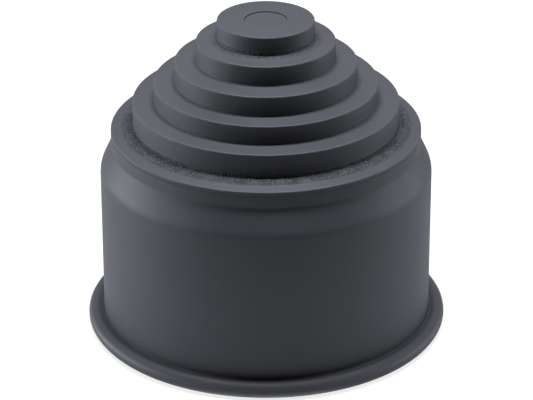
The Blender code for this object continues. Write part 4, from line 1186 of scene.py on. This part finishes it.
def paint_floor():
    """The floor's material: bright where it is seen, dim in what it sends back, clear from below."""
    n = Nodes("floor_paint")
    cloud = n.noise(0.6, 2.0)
    tone = n.mix(n.ramp(cloud, 0.3, 0.7), (0.26, 0.26, 0.26), (0.28, 0.28, 0.28))
    n.finish(tone, n.ramp(cloud, 0.3, 0.7, 0.9, 0.95), n.bump(n.noise(2 * MM), 0.02 * MM, 0.2), **FLOOR_GLOW)
    new, link = n.tree.nodes.new, n.tree.links.new
    bounce = new("ShaderNodeBsdfDiffuse")
    radius, _ = n.radius_and_height()
    near, far = ((level,) * 3 for level in FLOOR_BOUNCE)
    n.link(n.mix(n.ramp(radius, 0.1, 0.6), near, far), bounce.inputs["Color"])
    by_ray = new("ShaderNodeMixShader")
    link(new("ShaderNodeLightPath").outputs["Is Camera Ray"], by_ray.inputs["Fac"])
    link(bounce.outputs[0], by_ray.inputs[1])
    link(n.shader.outputs[0], by_ray.inputs[2])
    by_side = new("ShaderNodeMixShader")
    link(new("ShaderNodeNewGeometry").outputs["Backfacing"], by_side.inputs["Fac"])
    link(by_ray.outputs[0], by_side.inputs[1])
    link(new("ShaderNodeBsdfTransparent").outputs[0], by_side.inputs[2])
    link(by_side.outputs[0], n.tree.nodes["Material Output"].inputs["Surface"])
    return n.material


def make_floor():
    half = FLOOR_HALF
    corners = [(-half, -half, FLOOR_Z), (half, -half, FLOOR_Z), (half, half, FLOOR_Z), (-half, half, FLOOR_Z)]
    mesh = bpy.data.meshes.new("floor")
    mesh.from_pydata(corners, [], [(0, 1, 2, 3)])
    mesh.materials.append(paint_floor())
    floor = bpy.data.objects.new("floor", mesh)
    bpy.context.scene.collection.objects.link(floor)


def area_light(name, at, towards, size, power):
    light = bpy.data.lights.new(name, "AREA")
    light.shape = "RECTANGLE"
    light.size, light.size_y = size
    light.energy = power
    light.color = COOL
    holder = bpy.data.objects.new(name, light)
    holder.location = at
    holder.rotation_euler = (Vector(towards) - Vector(at)).to_track_quat("-Z", "Y").to_euler()
    holder.visible_camera = False
    bpy.context.scene.collection.objects.link(holder)
    return holder


def light_underside(lamp, names):
    """Lets a lamp under the clear side of the floor reach the named pieces, and only those."""
    reached = bpy.data.collections.new(f"{lamp.name}_reach")
    for name in names:
        reached.objects.link(bpy.data.objects[name])
    lamp.light_linking.receiver_collection = reached
    lamp.light_linking.blocker_collection = reached


def make_world():
    """White where the camera sees it, and nearly dark to everything else."""
    world = bpy.data.worlds.new("studio")
    world.use_nodes = True
    tree = world.node_tree
    dim = tree.nodes["Background"]
    dim.inputs["Color"].default_value = (1, 1, 1, 1)
    dim.inputs["Strength"].default_value = WORLD_DIM
    seen = tree.nodes.new("ShaderNodeBackground")
    seen.inputs["Color"].default_value = (1, 1, 1, 1)
    mixer = tree.nodes.new("ShaderNodeMixShader")
    rays = tree.nodes.new("ShaderNodeLightPath")
    tree.links.new(rays.outputs["Is Camera Ray"], mixer.inputs["Fac"])
    tree.links.new(dim.outputs[0], mixer.inputs[1])
    tree.links.new(seen.outputs[0], mixer.inputs[2])
    tree.links.new(mixer.outputs[0], tree.nodes["World Output"].inputs["Surface"])
    bpy.context.scene.world = world
    bpy.context.scene.view_settings.view_transform = "Standard"


def make_studio():
    make_floor()
    for lamp in LAMPS:
        area_light(*lamp)
    for lamp, names in LAMPS_BELOW:
        light_underside(area_light(*lamp), names)
    make_world()


def make_camera():
    data = bpy.data.cameras.new("camera")
    data.lens = CAMERA_LENS
    data.shift_x, data.shift_y = CAMERA_SHIFT
    camera = bpy.data.objects.new("camera", data)
    elevation = math.radians(CAMERA_ELEVATION)
    back = Vector((0, -math.cos(elevation), math.sin(elevation)))
    tilt = Euler((math.pi / 2 - elevation, 0, 0)).to_matrix()
    roll = Matrix.Rotation(math.radians(CAMERA_ROLL), 3, "Z")
    camera.location = CAMERA_AIM + back * CAMERA_DISTANCE
    camera.rotation_euler = (tilt @ roll).to_euler()
    bpy.context.scene.collection.objects.link(camera)
    bpy.context.scene.camera = camera


materials = make_materials()
dress_cad_nodes(materials)
make_hood(materials)
make_ledge_grain(materials)
make_hood_seal(materials)
make_gate_pit_shade(materials)
make_button(materials)
make_spring(materials)
make_drum(materials)
make_rim(materials)
make_guard_grille(materials)
make_guard_ring(materials)
make_impeller(materials)
make_shaft_nut(materials)
make_screws(materials, "base_screw", BASE_SCREW_RING, PLATE_Z - GAP, BASE_SCREW, facing=-1)
make_screws(materials, "plate_screw", DECK_SCREW_RING, DECK_TOP_Z + GAP, DECK_SCREW)
make_screws(materials, "board_screw", BOARD_SCREW_RING, PARTS_Z, BOARD_SCREW)
make_deck(materials)
make_deck_bosses(materials)
make_board(materials)
make_solder_pads(materials)
make_chip_resistors(materials)
make_switch(materials)
make_capacitor(materials)
make_driver_chip(materials)
make_socket(materials)
make_motor_leads(materials)
make_studio()
make_camera()
